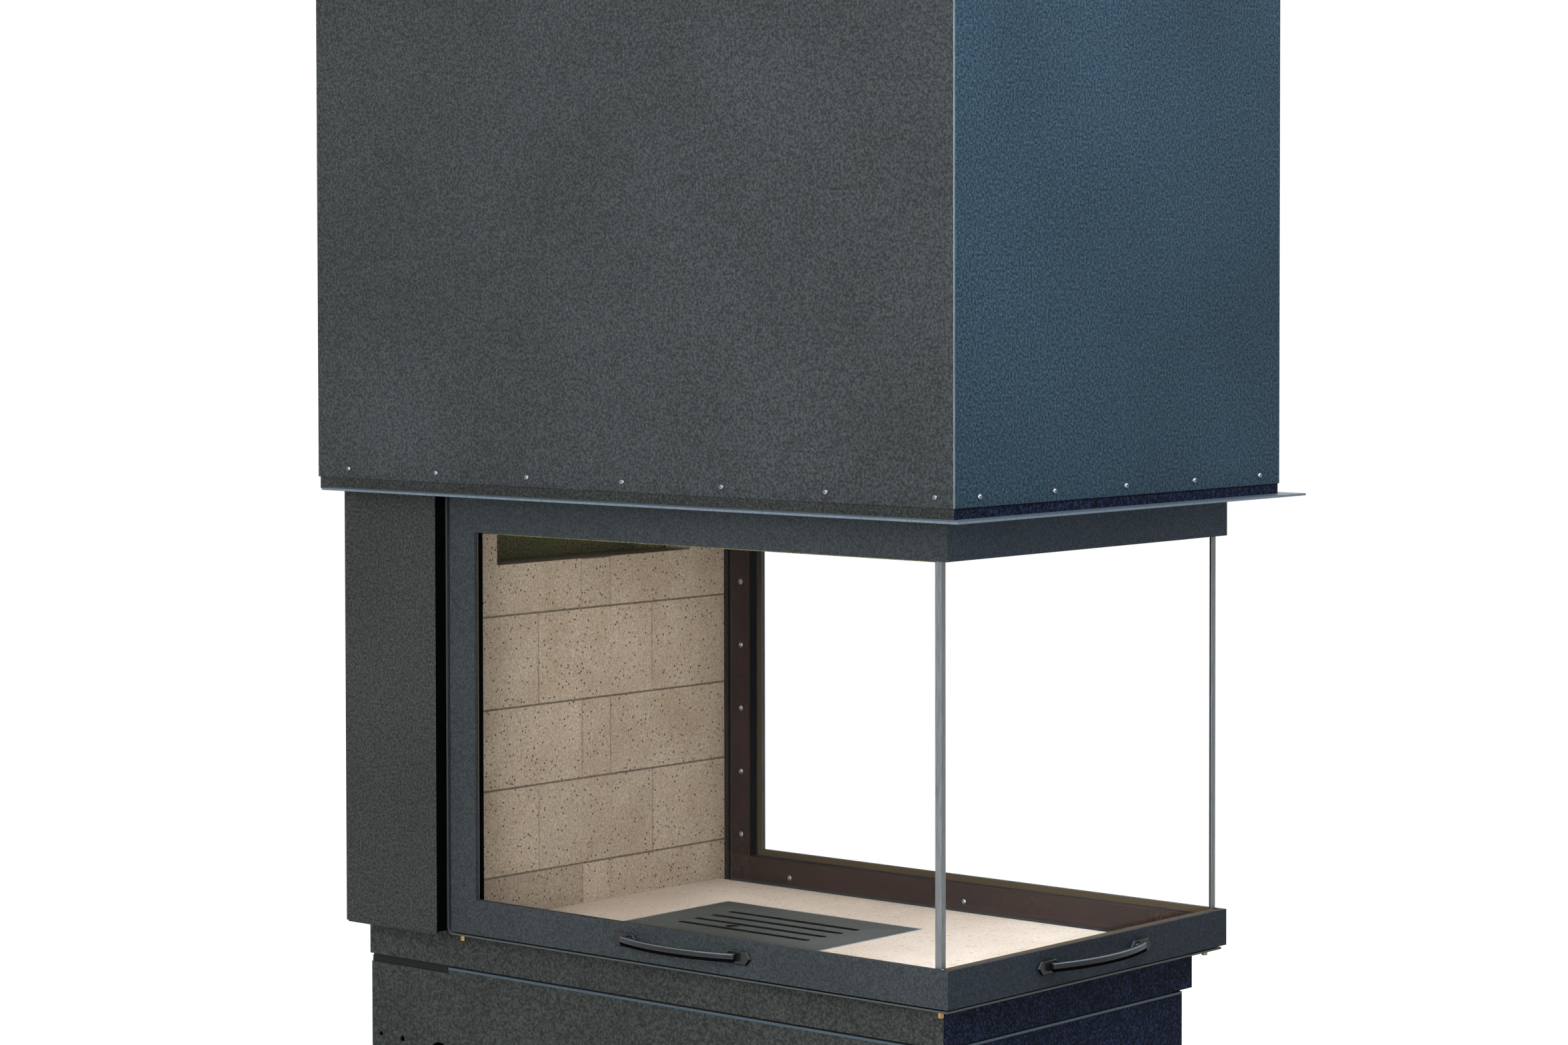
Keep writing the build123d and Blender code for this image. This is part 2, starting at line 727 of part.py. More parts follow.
def mounting_flange():
    """Welded ring of T-section on which the hood stands, with its rim proud all round the door."""
    z0, z1 = z_flange_low, z_flange
    ring = block(x_hood_rear + flange_rear_inset, x_flange_end, -y_flange, y_flange, z0, z1)
    ring += block(x_hood_rear + sheet, x_hood_rear + flange_rear_inset, -y_hood + sheet, y_hood - sheet, z0, z1)
    inner = 5.0
    ring -= block(x_casing_front, x_door_end + inner, -y_door - inner, y_door + inner, z0 - 1, z1 + 1)
    ring -= block(x_casing_rear + sheet, x_casing_front + 1, -y_casing + sheet, y_casing - sheet, z0 - 1, z1 + 1)
    x_in, x_out, y_out = x_hood_rear + sheet, x_hood_end - sheet, y_hood - sheet
    t = flange_thickness
    upright = block(x_in, x_out, -y_out, y_out, z1, z1 + flange_upright_height)
    upright -= block(x_in + t, x_out - t, -y_out + t, y_out - t, z1 - 1, z1 + flange_upright_height + 1)
    ring += upright
    for x in side_screw_places():
        ring -= rod_y(x, z_screw, -y_hood, y_hood, screw_hole)
    for y in end_screw_places():
        ring -= rod_x(y, z_screw, x_hood_end - sheet - t - 1, x_hood_end, screw_hole)
    return [ring]


z_screw = z_hood_low + hood_screw_rise
screw_hole = 2.5 + fit_clearance


def side_screw_places():
    """Where the hood screws stand along a long side."""
    margin = hood_screw_margin
    return spread(x_hood_rear + margin + 14.5, x_hood_end - 30.3, side_screws)


def end_screw_places():
    """Where the hood screws stand along the short end."""
    y = y_hood - end_screw_margin
    return spread(-y, y, end_screws)


def hood_screws():
    """Domed screws that hold the hood panels to the flange."""
    head = extrude(Circle(hood_screw_radius), hood_screw_height)
    head = fillet(head.edges().sort_by(Axis.Z)[-1], 2.0)
    shank = sheet + flange_thickness
    screw = head + Pos(0, 0, -shank / 2) * Cylinder(2.5, shank)
    pieces = []
    for x in side_screw_places():
        pieces += pair(Pos(x, -y_hood, z_screw) * Rot(90, 0, 0) * screw)
    for y in end_screw_places():
        pieces.append(Pos(x_hood_end, y, z_screw) * Rot(0, 90, 0) * screw)
    return pieces


def hood_side_panels():
    """Long panels of the hood, with rounded front edges."""
    panel = block(x_hood_rear, x_hood_end, -y_hood, -y_hood + sheet, z_hood_low, z_hood_top)
    panel = fillet(panel.edges().filter_by(Axis.Z).sort_by(Axis.Y)[:2].sort_by(Axis.X)[-1], hood_corner_radius)
    for x in side_screw_places():
        panel -= rod_y(x, z_screw, -y_hood - 1, -y_hood + sheet + 1, screw_hole)
    return pair(panel)


def hood_end_panels():
    """Short panels of the hood: the glazed end and the rear."""
    y = y_hood - sheet
    end = block(x_hood_end - sheet, x_hood_end, -y, y, z_hood_low, z_hood_top)
    for place in end_screw_places():
        end -= rod_x(place, z_screw, x_hood_end - sheet - 1, x_hood_end + 1, screw_hole)
    return [end, block(x_hood_rear, x_hood_rear + sheet, -y, y, z_hood_low, z_hood_top)]


def hood_top():
    """Lid of the hood, with a hole for the flue."""
    lid = block(x_hood_rear, x_hood_end, -y_hood, y_hood, z_hood_top, z_hood_high)
    hole = flue_radius + flue_shoulder + flue_clearance
    return [lid - rod_z(flue_x, 0, z_hood_top - 1, z_hood_high + 1, hole)]


def angle_post(x, y, leg, direction):
    """Upright angle whose outer corner is at x, y; direction points along X into the hood."""
    x_far = x + direction * leg
    post = block(min(x, x_far), max(x, x_far), y, y + leg, z_flange, z_hood_top)
    x0 = x + direction * post_thickness
    x1 = x + direction * (leg + 1)
    return post - block(min(x0, x1), max(x0, x1), y + post_thickness, y + leg + 1, z_flange - 1, z_hood_top + 1)


def hood_posts():
    """Four angle posts between the flange and the hood top."""
    step = sheet + flange_thickness
    y = -y_hood + step
    front = angle_post(x_hood_end - step, y, post_leg, -1)
    rear = angle_post(x_hood_rear + step, y, rear_post_leg, 1)
    return pair(front) + pair(rear)


def weight_chutes():
    """Angle guards that keep each weight in its corner beside the smoke duct."""
    x0, x1 = x_casing_rear + sheet, rear_shaft_x + chute_front_gap
    y0, y1 = -y_casing + sheet, -y_weight + weight_width / 2 + chute_side_gap
    z0, z1 = z_deck, z_shaft - chute_drop
    t = chute_thickness
    guard = block(x1 - t, x1, y0, y1, z0, z1) + block(x0, x1, y1 - t, y1, z0, z1)
    return pair(guard)


# Lift


y_cable = y_door - cable_inset
y_weight = y_cable
x_door_cable = front_shaft_x + pulley_radius
x_weight_cable = rear_shaft_x - pulley_radius
y_rod = y_door + rod_out
z_weight_high = z_shaft - weight_drop
weight_height = z_weight_high - eye_height - door_travel - z_deck - weight_floor_gap
z_eye_high = z_door_high + 2 * eye_height * 0.8
rod_places = (x_door_rear + rod_rear_inset, x_door_end - rod_front_inset)


def guide_rods():
    """Ground rods on which the door slides up."""
    rods = []
    for x in rod_places:
        rods += pair(rod_z(x, -y_rod, z_flange, z_hood_top, rod_radius))
    return rods


def shaft_brackets():
    """Plates under the hood top that carry the pulley shafts."""
    y0 = -y_door - bracket_out - bracket_thickness
    pieces = []
    for x in (front_shaft_x, rear_shaft_x):
        plate = block(x - bracket_half_width, x + bracket_half_width, y0, y0 + bracket_thickness, z_shaft,
                      z_hood_top)
        plate += rod_y(x, z_shaft, y0, y0 + bracket_thickness, bracket_half_width)
        plate -= rod_y(x, z_shaft, y0 - 1, y0 + bracket_thickness + 1, shaft_radius + running_clearance)
        pieces += pair(plate)
    return pieces


def pulley_shaft(x):
    """Shaft across the hood that makes both sides of the door rise alike."""
    y = y_door + bracket_out + bracket_thickness + 6.0
    return [rod_y(x, z_shaft, -y, y, shaft_radius)]


def pulleys(x):
    """Two grooved pulleys, one for each cable, with holes in the web."""
    groove = pulley_radius - cable_radius - loose_clearance
    rim = pulley_radius + pulley_rim
    half = pulley_width / 2
    lip, floor = half - 2.5, cable_radius + loose_clearance
    points = [(groove - 6, -half), (rim, -half), (rim, -lip), (groove, -floor), (groove, floor), (rim, lip),
              (rim, half), (groove - 6, half)]
    profile = make_face(Polyline(*points, close=True))
    wheel = revolve(profile, Axis.Y, 360)
    hub = 16.0
    wheel += rod_y(0, 0, -2.0, 2.0, groove - 5)
    wheel += rod_y(0, 0, cable_inset * -1 - bracket_out + loose_clearance, half + 3.0, hub)
    wheel -= rod_y(0, 0, -30.0, 30.0, shaft_radius + running_clearance)
    holes = 5
    for i in range(holes):
        angle = 2 * math.pi * i / holes
        wheel -= rod_y(24.0 * math.cos(angle), 24.0 * math.sin(angle), -3.0, 3.0, 5.5)
    return pair(Pos(x, -y_cable, z_shaft) * wheel)


def cable_runs():
    """The stretch of each cable that goes over the two pulleys."""
    r = pulley_radius
    z = z_shaft
    top = z + r
    half = math.sqrt(0.5) * r
    arc_front = ThreePointArc((x_door_cable, -y_cable, z), (front_shaft_x + half, -y_cable, z + half),
                              (front_shaft_x, -y_cable, top))
    straight = Line((front_shaft_x, -y_cable, top), (rear_shaft_x, -y_cable, top))
    arc_rear = ThreePointArc((rear_shaft_x, -y_cable, top), (rear_shaft_x - half, -y_cable, z + half),
                             (x_weight_cable, -y_cable, z))
    route = Wire([arc_front.edge(), straight.edge(), arc_rear.edge()])
    section = Plane((x_door_cable, -y_cable, z), z_dir=(0, 0, 1)) * Circle(cable_radius)
    return pair(sweep(section, path=route))


def door_cables():
    """The stretch of each cable between the front pulley and the door."""
    return pair(rod_z(x_door_cable, -y_cable, z_eye_high, z_shaft, cable_radius))


def weight_cables():
    """The stretch of each cable between the rear pulley and its weight."""
    return pair(rod_z(x_weight_cable, -y_cable, z_weight_high, z_shaft, cable_radius))


def eye_bolt(x, y, z0, z1):
    """Eye on a stud, with the cable's thimble and ferrule above it."""
    ring, wire = 9.0, 2.5
    z_ring = z0 + 10.0 + ring
    bolt = rod_z(x, y, z0, z0 + 3.0, 9.0) + rod_z(x, y, z0, z_ring - ring + 1, 4.0)
    bolt += Pos(x, y, z_ring) * Rot(90, 0, 0) * Torus(ring, wire)
    return bolt + rod_z(x, y, z_ring + ring - 1, z1, 4.5)


def cable_eyes():
    """Eyes on the top rails where the cables hold the door."""
    return pair(eye_bolt(x_door_cable, -y_cable, z_door_high, z_eye_high))


def counterweight():
    """Weight with rounded edges and its eye."""
    z1 = z_weight_high - eye_height
    z0 = z1 - weight_height
    x, y = x_weight_cable, -y_weight
    body = block(x - weight_length / 2, x + weight_length / 2, y - weight_width / 2, y + weight_width / 2, z0, z1)
    body = chamfer(body.edges().filter_by(Axis.Z), 4.0)
    return [body, eye_bolt(x, y, z1, z_weight_high)]


def hanger_places():
    """Plan places of the hangers along the top rail, which are those of the rods."""
    return rod_places


def door_hangers():
    """Angle brackets from the top rail up to the guide blocks."""
    pieces = []
    for x in hanger_places():
        plate = block(x - hanger_half_width, x + hanger_half_width, -y_door, -y_door + hanger_thickness,
                      z_door_high, z_door_high + hanger_height)
        foot = block(x - hanger_half_width, x + hanger_half_width, -y_door + hanger_thickness,
                     -y_door_inner - retainer_thickness, z_door_high, z_door_high + 5.0)
        plate = chamfer(plate.edges().filter_by(Axis.Y).group_by(Axis.Z)[-1], 12.0)
        pieces += pair(plate + foot)
    return pieces


def guide_blocks():
    """Bearing blocks that slide on the rods."""
    pieces = []
    for x in hanger_places():
        z0 = z_door_high + guide_rise
        body = block(x - guide_half_width, x + guide_half_width, -y_door - guide_out, -y_door, z0,
                     z0 + guide_height)
        body = chamfer(body.edges().filter_by(Axis.Z).group_by(Axis.Y)[0], 8.0)
        body -= rod_z(x, -y_rod, z0 - 1, z0 + guide_height + 1, rod_radius + running_clearance)
        pieces += pair(body)
    return pieces


# Door frame and glass

v_tube = lip_thickness
v_back = door_depth - retainer_thickness
v_glass = lip_thickness + gasket_thickness
v_glass_in = v_glass + glass_thickness


def near_bar(x0, x1, v0, v1, z0, z1):
    """A bar on the near side, between two depths behind the face of the door."""
    return block(x0, x1, -y_door + v0, -y_door + v1, z0, z1)


def end_bar(y0, y1, v0, v1, z0, z1):
    """A bar on the short end, between two depths behind the face of the door."""
    return block(x_door_end - v1, x_door_end - v0, y0, y1, z0, z1)


def mitre(part, side, keep):
    """Cut a rail at 45 degrees through the near (-1) or far (1) corner of the door."""
    plane = Plane(origin=(x_door_end, side * y_door, 0), z_dir=(1, -side, 0))
    return split(part, bisect_by=plane, keep=keep)


def rails(z_lip_low, z_lip_high, z_tube_low):
    """Near, far and end rails: a flat lip outside and a square tube behind it."""
    z_tube_high = z_tube_low + door_tube_height
    wall = door_tube_wall
    side = near_bar(x_door_rear, x_door_end, 0, v_tube, z_lip_low, z_lip_high)
    side += near_bar(x_door_rear, x_door_end, v_tube, v_back, z_tube_low, z_tube_high)
    side -= near_bar(x_door_rear + wall, x_door_end + 1, v_tube + wall, v_back - wall, z_tube_low + wall,
                     z_tube_high - wall)
    side = mitre(side, -1, Keep.BOTTOM)
    end = end_bar(-y_door, y_door, 0, v_tube, z_lip_low, z_lip_high)
    end += end_bar(-y_door, y_door, v_tube, v_back, z_tube_low, z_tube_high)
    end -= end_bar(-y_door - 1, y_door + 1, v_tube + wall, v_back - wall, z_tube_low + wall, z_tube_high - wall)
    end = mitre(mitre(end, -1, Keep.TOP), 1, Keep.TOP)
    for cut in rail_screw_cuts(z_tube_low + door_tube_height / 2):
        side -= cut
        end -= cut
    return pair(side) + [end]


def rail_screw_spots():
    """Places of the retainer screws along a side rail and along the end rail."""
    along = spread(x_door_rear + rail_screw_rear_inset, x_door_end - rail_screw_front_inset, rail_screws)
    return along, spread(-end_screw_spread, end_screw_spread, end_rail_screws)


def rail_screw_cuts(z):
    """Holes through a rail's inner wall for the retainer screws."""
    along, across = rail_screw_spots()
    hole = screw_shank_radius + fit_clearance
    y0 = -y_door + v_back - door_tube_wall - 1
    cuts = [rod_y(x, z, y0, -y_door_inner + 1, hole) for x in along]
    cuts += [rod_x(y, z, x_door_inner - 1, x_door_end - v_back + door_tube_wall + 1, hole) for y in across]
    return cuts


z_low_tube = z_door_low
z_high_tube = z_door_high - door_tube_height
x_stile_in = x_door_rear + stile_width
x_screw = x_door_rear + stile_screw_inset


def stile_screw_heights():
    """Heights of the retainer screws of a stile."""
    return [z_glass_low + stile_screw_rise + i * stile_screw_pitch for i in range(stile_screws)]


def door_stiles():
    """Rear uprights of the door, made as the rails are."""
    wall = door_tube_wall
    x1 = x_door_rear + door_tube_height
    z0, z1 = z_low_tube + door_tube_height, z_high_tube
    stile = near_bar(x_door_rear, x_stile_in, 0, v_tube, z_glass_low, z_glass_high)
    stile += near_bar(x_door_rear, x1, v_tube, v_back, z0, z1)
    stile -= near_bar(x_door_rear + wall, x1 - wall, v_tube + wall, v_back - wall, z0 - 1, z1 + 1)
    for z in stile_screw_heights():
        stile -= rod_y(x_screw, z, -y_door + v_back - wall - 1, -y_door_inner + 1,
                       screw_shank_radius + fit_clearance)
    return pair(stile)


def side_glass():
    """Long panes."""
    pane = near_bar(x_stile_in - glass_overlap, x_door_end - end_pane_setback - loose_clearance, v_glass,
                    v_glass_in, z_glass_low - glass_overlap, z_glass_high + glass_overlap - 2.0)
    return pair(pane)


def end_glass():
    """Short pane, between the inner faces of the long ones."""
    y = y_door - v_glass_in - loose_clearance
    return [end_bar(-y, y, end_pane_setback, end_pane_setback + glass_thickness, z_glass_low - glass_overlap,
                    z_glass_high + glass_overlap - 2.0)]


def corner_strips():
    """Steel angles over the joints between the panes."""
    x1 = x_door_end - end_pane_setback + strip_thickness
    y0 = -y_door + v_glass - strip_thickness - loose_clearance
    y_face = y0 + strip_thickness + loose_clearance
    strip = block(x1 - strip_width, x1, y0, y_face, z_glass_low, z_glass_high)
    strip += block(x1 - strip_thickness, x1, y0, y_face + strip_width - 2.5, z_glass_low, z_glass_high)
    return pair(strip)


def glass_gaskets():
    """Golden tape between the lips of the frame and the glass."""
    depth = (v_tube, v_glass)
    g = retainer_setback
    x0, x1 = x_stile_in - g, x_door_end - end_pane_setback - loose_clearance
    pieces = []
    pieces += pair(near_bar(x0, x1, *depth, z_glass_low - g, z_glass_low))
    pieces += pair(near_bar(x0, x1, *depth, z_glass_high, z_glass_high + g))
    pieces += pair(near_bar(x0, x_stile_in, *depth, z_glass_low, z_glass_high))
    y = y_door - v_glass_in - loose_clearance
    pieces.append(end_bar(-y, y, v_tube, end_pane_setback, z_glass_low - g, z_glass_low))
    pieces.append(end_bar(-y, y, v_tube, end_pane_setback, z_glass_high, z_glass_high + g))
    return pieces


def glass_retainers():
    """Folded strips screwed to the inside of the frame, which clamp the glass."""
    t, g, m = retainer_thickness, retainer_setback, retainer_margin
    v0, v1 = v_back, door_depth
    x0, x1 = x_door_rear + m, x_door_inner
    x_edge = x_stile_in - g
    x_leg_end = x_door_end - v_back - loose_clearance
    end_glass_in = end_pane_setback + glass_thickness
    y_plate = y_door - v_back
    y_leg = y_door - v_glass_in - 0.5
    pieces = []
    for z_plate_low, z_plate_high, z_leg in (
            (z_door_low + m, z_glass_low - g, z_glass_low - g - t),
            (z_glass_high + g, z_door_high - m, z_glass_high + g)):
        side = near_bar(x0, x1, v0, v1, z_plate_low, z_plate_high)
        side += near_bar(x_edge - t, x_leg_end, v_glass_in, v0, z_leg, z_leg + t)
        end = end_bar(-y_plate, y_plate, v0, v1, z_plate_low, z_plate_high)
        end += end_bar(-y_leg, y_leg, end_glass_in, v0, z_leg, z_leg + t)
        z_screws = (z_low_tube if z_leg < z_glass_low else z_high_tube) + door_tube_height / 2
        for cut in rail_screw_heads(z_screws, fit_clearance):
            side -= cut
            end -= cut
        pieces += pair(side) + [end]
    stile = near_bar(x0, x_edge, v0, v1, z_glass_low - g, z_glass_high + g)
    stile += near_bar(x_edge - t, x_edge, v_glass_in, v0, z_glass_low - g, z_glass_high + g)
    for z in stile_screw_heights():
        stile -= stile_screw(z, fit_clearance)
    return pieces + pair(stile)


def stile_screw(z, clearance):
    """Flush screw through a stile's retainer; a clearance makes it its own hole."""
    head = rod_y(x_screw, z, -y_door_inner - 2.0, -y_door_inner, screw_head_radius + clearance)
    return head + rod_y(x_screw, z, -y_door + v_back - 5.0, -y_door_inner - 1.0, screw_shank_radius + clearance)


def rail_screw_heads(z, clearance):
    """Flush screws through the retainers of the near rail and the end rail."""
    along, across = rail_screw_spots()
    head, shank = screw_head_radius + clearance, screw_shank_radius + clearance
    y0, x1 = -y_door + v_back - 5.0, x_door_end - v_back + 5.0
    screws = [rod_y(x, z, -y_door_inner - 2.0, -y_door_inner, head) + rod_y(x, z, y0, -y_door_inner - 1.0, shank)
              for x in along]
    screws += [rod_x(y, z, x_door_inner, x_door_inner + 2.0, head) + rod_x(y, z, x_door_inner + 1.0, x1, shank)
               for y in across]
    return screws


def retainer_screws():
    """All flush screws of the glass retainers."""
    pieces = []
    for z in stile_screw_heights():
        pieces += pair(stile_screw(z, 0))
    for z_tube in (z_low_tube, z_high_tube):
        near_and_end = rail_screw_heads(z_tube + door_tube_height / 2, 0)
        count = len(rail_screw_spots()[0])
        for screw in near_and_end[:count]:
            pieces += pair(screw)
        pieces += near_and_end[count:]
    return pieces


def handle():
    """Bow handle on a vertical face at Y = 0, standing out towards -Y, centred on the origin."""
    half = handle_length / 2 - handle_plate_length / 2
    y_end = -handle_plate_thickness - handle_bar_depth / 2
    y_mid = -handle_bow + handle_bar_depth / 2
    arc = ThreePointArc((-half, y_end, 0), (0, y_mid, 0), (half, y_end, 0))
    section = Plane(origin=arc @ 0, z_dir=arc % 0) * Rectangle(handle_bar_height, handle_bar_depth)
    bar = sweep(section, path=arc)
    x_post = half - 10.0
    for side in (-1, 1):
        bar += rod_y(side * x_post, 0, y_end - 4.0, -handle_plate_thickness, handle_bar_height / 2 - 1.0)
    wall = block(-handle_length, handle_length, -handle_plate_thickness, 20.0, -40.0, 40.0)
    bar -= wall
    w, h = handle_plate_length / 2, handle_plate_height / 2
    tip = h * 0.8
    outline = [(-w, 0), (-w + tip, h), (w - tip, h), (w, 0), (w - tip, -h), (-w + tip, -h)]
    plate = extrude(Plane.XZ * make_face(Polyline(*outline, close=True)), handle_plate_thickness)
    centre = handle_length / 2 - handle_plate_length / 2
    return [bar] + [Pos(side * centre, 0, 0) * plate for side in (-1, 1)]


def door_handles():
    """The handle on the near side and the one on the short end."""
    z = z_glass_low - handle_drop
    x = (x_door_rear + x_door_end) / 2 + handle_offset_x
    near = [Pos(x, -y_door, z) * piece for piece in handle()]
    end = [Pos(x_door_end, 0, z) * Rot(0, 0, 90) * piece for piece in handle()]
    return near + end


os.makedirs("parts", exist_ok=True)

save("levelling_feet", levelling_feet())
save("base_plate", base_plate())
save("base_panels", base_panels())
save("base_frame_tubes", base_tubes())
save("base_band", base_band())
save("hearth_deck", hearth_deck())
save("door_stops", door_stops())
save("air_pipe", air_pipe())
save("air_flap", [flap_disc()])
save("flap_spindle", flap_spindle())
save("hearth_tray", hearth_tray())
save("hearth_slab", hearth_slab())
save("grate_frame", grate_frame())
save("grate", grate())
save("ash_pan", ash_pan())
save("long_joint_bricks", course(0) + course(2))
save("short_joint_bricks", course(1) + course(3))
save("smoke_opening_bricks", top_course())
save("back_plate", back_plate())
save("smoke_duct", smoke_duct())
save("smoke_dome", smoke_dome())
save("baffle_boards", baffle_boards())
save("flue_collar", flue_collar())
save("dome_hangers", dome_hangers())
save("dome_seal", dome_seal())
save("side_casings", side_casings())
save("rear_casing", rear_casing())
save("seal_edge", seal_edge())
save("mounting_flange", mounting_flange())
save("hood_side_panels", hood_side_panels())
save("hood_end_panels", hood_end_panels())
save("hood_top", hood_top())
save("hood_posts", hood_posts())
save("hood_screws", hood_screws())
save("weight_chutes", weight_chutes())
save("guide_rods", guide_rods())
save("shaft_brackets", shaft_brackets())
save("front_shaft", pulley_shaft(front_shaft_x))
save("rear_shaft", pulley_shaft(rear_shaft_x))
save("front_pulleys", pulleys(front_shaft_x))
save("rear_pulleys", pulleys(rear_shaft_x))
save("cable_runs", cable_runs())
save("door_cables", door_cables())
save("weight_cables", weight_cables())
save("cable_eyes", cable_eyes())
save("counterweight_near", counterweight())
save("counterweight_far", [far_side(piece) for piece in counterweight()])
save("door_hangers", door_hangers())
save("guide_blocks", guide_blocks())
save("door_bottom_rails", rails(z_door_low, z_glass_low, z_low_tube))
save("door_top_rails", rails(z_glass_high, z_door_high, z_high_tube))
save("door_stiles", door_stiles())
save("side_glass", side_glass())
save("end_glass", end_glass())
save("corner_strips", corner_strips())
save("glass_gaskets", glass_gaskets())
save("glass_retainers", glass_retainers())
save("retainer_screws", retainer_screws())
save("door_handles", door_handles())
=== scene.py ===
"""Looks of a three-sided fireplace with a lift-up glass door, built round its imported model."""
import json
import logging
import math
import random
from dataclasses import dataclass, field
from enum import Enum
from typing import Callable, Iterable, Sequence

import bmesh
import bpy
from mathutils import Matrix, Vector


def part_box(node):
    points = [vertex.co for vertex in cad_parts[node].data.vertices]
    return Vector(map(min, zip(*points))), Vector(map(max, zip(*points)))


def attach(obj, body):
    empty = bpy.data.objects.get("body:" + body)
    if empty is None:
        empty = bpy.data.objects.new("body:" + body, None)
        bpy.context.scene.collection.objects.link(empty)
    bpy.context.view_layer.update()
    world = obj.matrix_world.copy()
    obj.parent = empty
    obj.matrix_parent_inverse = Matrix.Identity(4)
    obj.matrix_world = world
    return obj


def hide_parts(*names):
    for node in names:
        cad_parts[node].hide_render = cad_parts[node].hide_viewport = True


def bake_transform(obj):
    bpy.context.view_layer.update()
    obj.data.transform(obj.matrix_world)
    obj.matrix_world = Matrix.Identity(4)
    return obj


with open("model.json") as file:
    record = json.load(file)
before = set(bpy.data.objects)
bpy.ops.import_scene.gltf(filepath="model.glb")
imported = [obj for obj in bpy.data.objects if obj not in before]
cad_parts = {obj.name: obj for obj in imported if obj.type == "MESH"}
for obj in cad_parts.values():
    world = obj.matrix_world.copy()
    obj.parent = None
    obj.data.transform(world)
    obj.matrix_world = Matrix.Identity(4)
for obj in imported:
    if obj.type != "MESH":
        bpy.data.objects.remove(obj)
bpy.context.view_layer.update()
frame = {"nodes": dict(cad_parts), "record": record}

LOG = logging.getLogger("fireplace")
MM = 0.001
# The photograph's size in pixels, in which the camera's framing is given.
IMAGE_WIDTH = 2352
IMAGE_HEIGHT = 1568
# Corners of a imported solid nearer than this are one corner.
WELD_MM = 0.002
# Angles between two faces: of one flat face, of an edge worth breaking, and up to which shading is smooth.
FLAT_DEG = 1.0
SHARP_DEG = 40.0
SMOOTH_EDGE_DEG = 20.0
SMOOTH_FORM_DEG = 35.0
SMOOTH_STRAND_DEG = 50.0
# Shares of a unit normal from which a face looks one way: all but fully, more so than not, or as the broken
# edge of such a face does.
SQUARELY = 0.9
PLAINLY = 0.5
SLANTING = 0.3
SLIGHTLY = 0.2
# Settings of a mix node that multiplies one colour by another.
MULTIPLIED = {"data_type": "RGBA", "blend_type": "MULTIPLY"}
FaceTest = Callable[[bpy.types.MeshPolygon], bool]


def linear(hex_colour: str, alpha: float = 1.0) -> tuple[float, float, float, float]:
    """Turn an sRGB hex colour into linear light.

    Args:
        hex_colour: Colour such as "#41464a".
        alpha: Fourth value of the result.

    Returns:
        Linear red, green, blue and the alpha.
    """
    parts = [int(hex_colour[i : i + 2], 16) / 255 for i in (1, 3, 5)]
    light = [p / 12.92 if p <= 0.04045 else ((p + 0.055) / 1.055) ** 2.4 for p in parts]
    return (*light, alpha)


def feed(node: bpy.types.Node, **inputs: object) -> None:
    """Set or link the inputs of a node.

    Args:
        node: Node that has them.
        **inputs: Values or output sockets, each by the input's name with underscores for spaces, or by its
            number as in0 to in9.
    """
    for key, value in inputs.items():
        numbered = key.startswith("in") and key[2:].isdigit()
        socket = node.inputs[int(key[2:])] if numbered else node.inputs[key.replace("_", " ")]
        if isinstance(value, bpy.types.NodeSocket):
            node.id_data.links.new(value, socket)
        else:
            socket.default_value = value


def add_node(tree: bpy.types.NodeTree, kind: str, settings: dict[str, object] | None = None,
             **inputs: object) -> bpy.types.Node:
    """Add one node, with its settings, values and links.

    Args:
        tree: Node tree that gets the node.
        kind: Blender's name of the node.
        settings: Properties of the node itself. The key "stops" holds a ramp's positions and hex colours.
        **inputs: Its inputs, as feed takes them.

    Returns:
        The new node.
    """
    made = tree.nodes.new(kind)
    for key, value in (settings or {}).items():
        if key != "stops":
            setattr(made, key, value)
            continue
        elements = made.color_ramp.elements
        while len(elements) < len(value):
            elements.new(0.5)
        for element, (position, colour) in zip(elements, value):
            element.position = position
            element.color = linear(colour)
    feed(made, **inputs)
    return made


def smooth(mesh: bpy.types.Mesh, degrees: float) -> None:
    """Shade a mesh smooth, apart from edges sharper than an angle."""
    mesh.shade_smooth()
    mesh.set_sharp_from_angle(angle=math.radians(degrees))


def merged_copy(node: str) -> bmesh.types.BMesh:
    """Copy the mesh of a node, whose triangles are loose, and merge their corners.

    Args:
        node: Node to copy.

    Returns:
        The copy, which its user frees.
    """
    shape = bmesh.new()
    shape.from_mesh(frame["nodes"][node].data)
    bmesh.ops.remove_doubles(shape, verts=shape.verts[:], dist=WELD_MM * MM)
    return shape


def corners(shape: bmesh.types.BMesh, places: Iterable[Sequence[float]]) -> list[bmesh.types.BMVert]:
    """Add corners to a shape, at places in millimetres."""
    return [shape.verts.new([value * MM for value in place]) for place in places]


def skin(shape: bmesh.types.BMesh, rings: Sequence[Sequence[bmesh.types.BMVert]]) -> None:
    """Join rings of corners into a tube, and close both its ends.

    Args:
        shape: Shape that holds the corners.
        rings: Rings with as many corners each, from one end to the other.
    """
    for low, high in zip(rings, rings[1:]):
        for i in range(len(low)):
            j = (i + 1) % len(low)
            shape.faces.new((low[i], low[j], high[j], high[i]))
    shape.faces.new(list(reversed(rings[0])))
    shape.faces.new(rings[-1])


def in_scene(name: str, data: bpy.types.ID) -> bpy.types.Object:
    """Put a mesh, camera or lamp into the scene as an object, at the origin and unturned.

    Args:
        name: Name of the object.
        data: What it shows.

    Returns:
        The object.
    """
    thing = bpy.data.objects.new(name, data)
    bpy.context.scene.collection.objects.link(thing)
    return thing


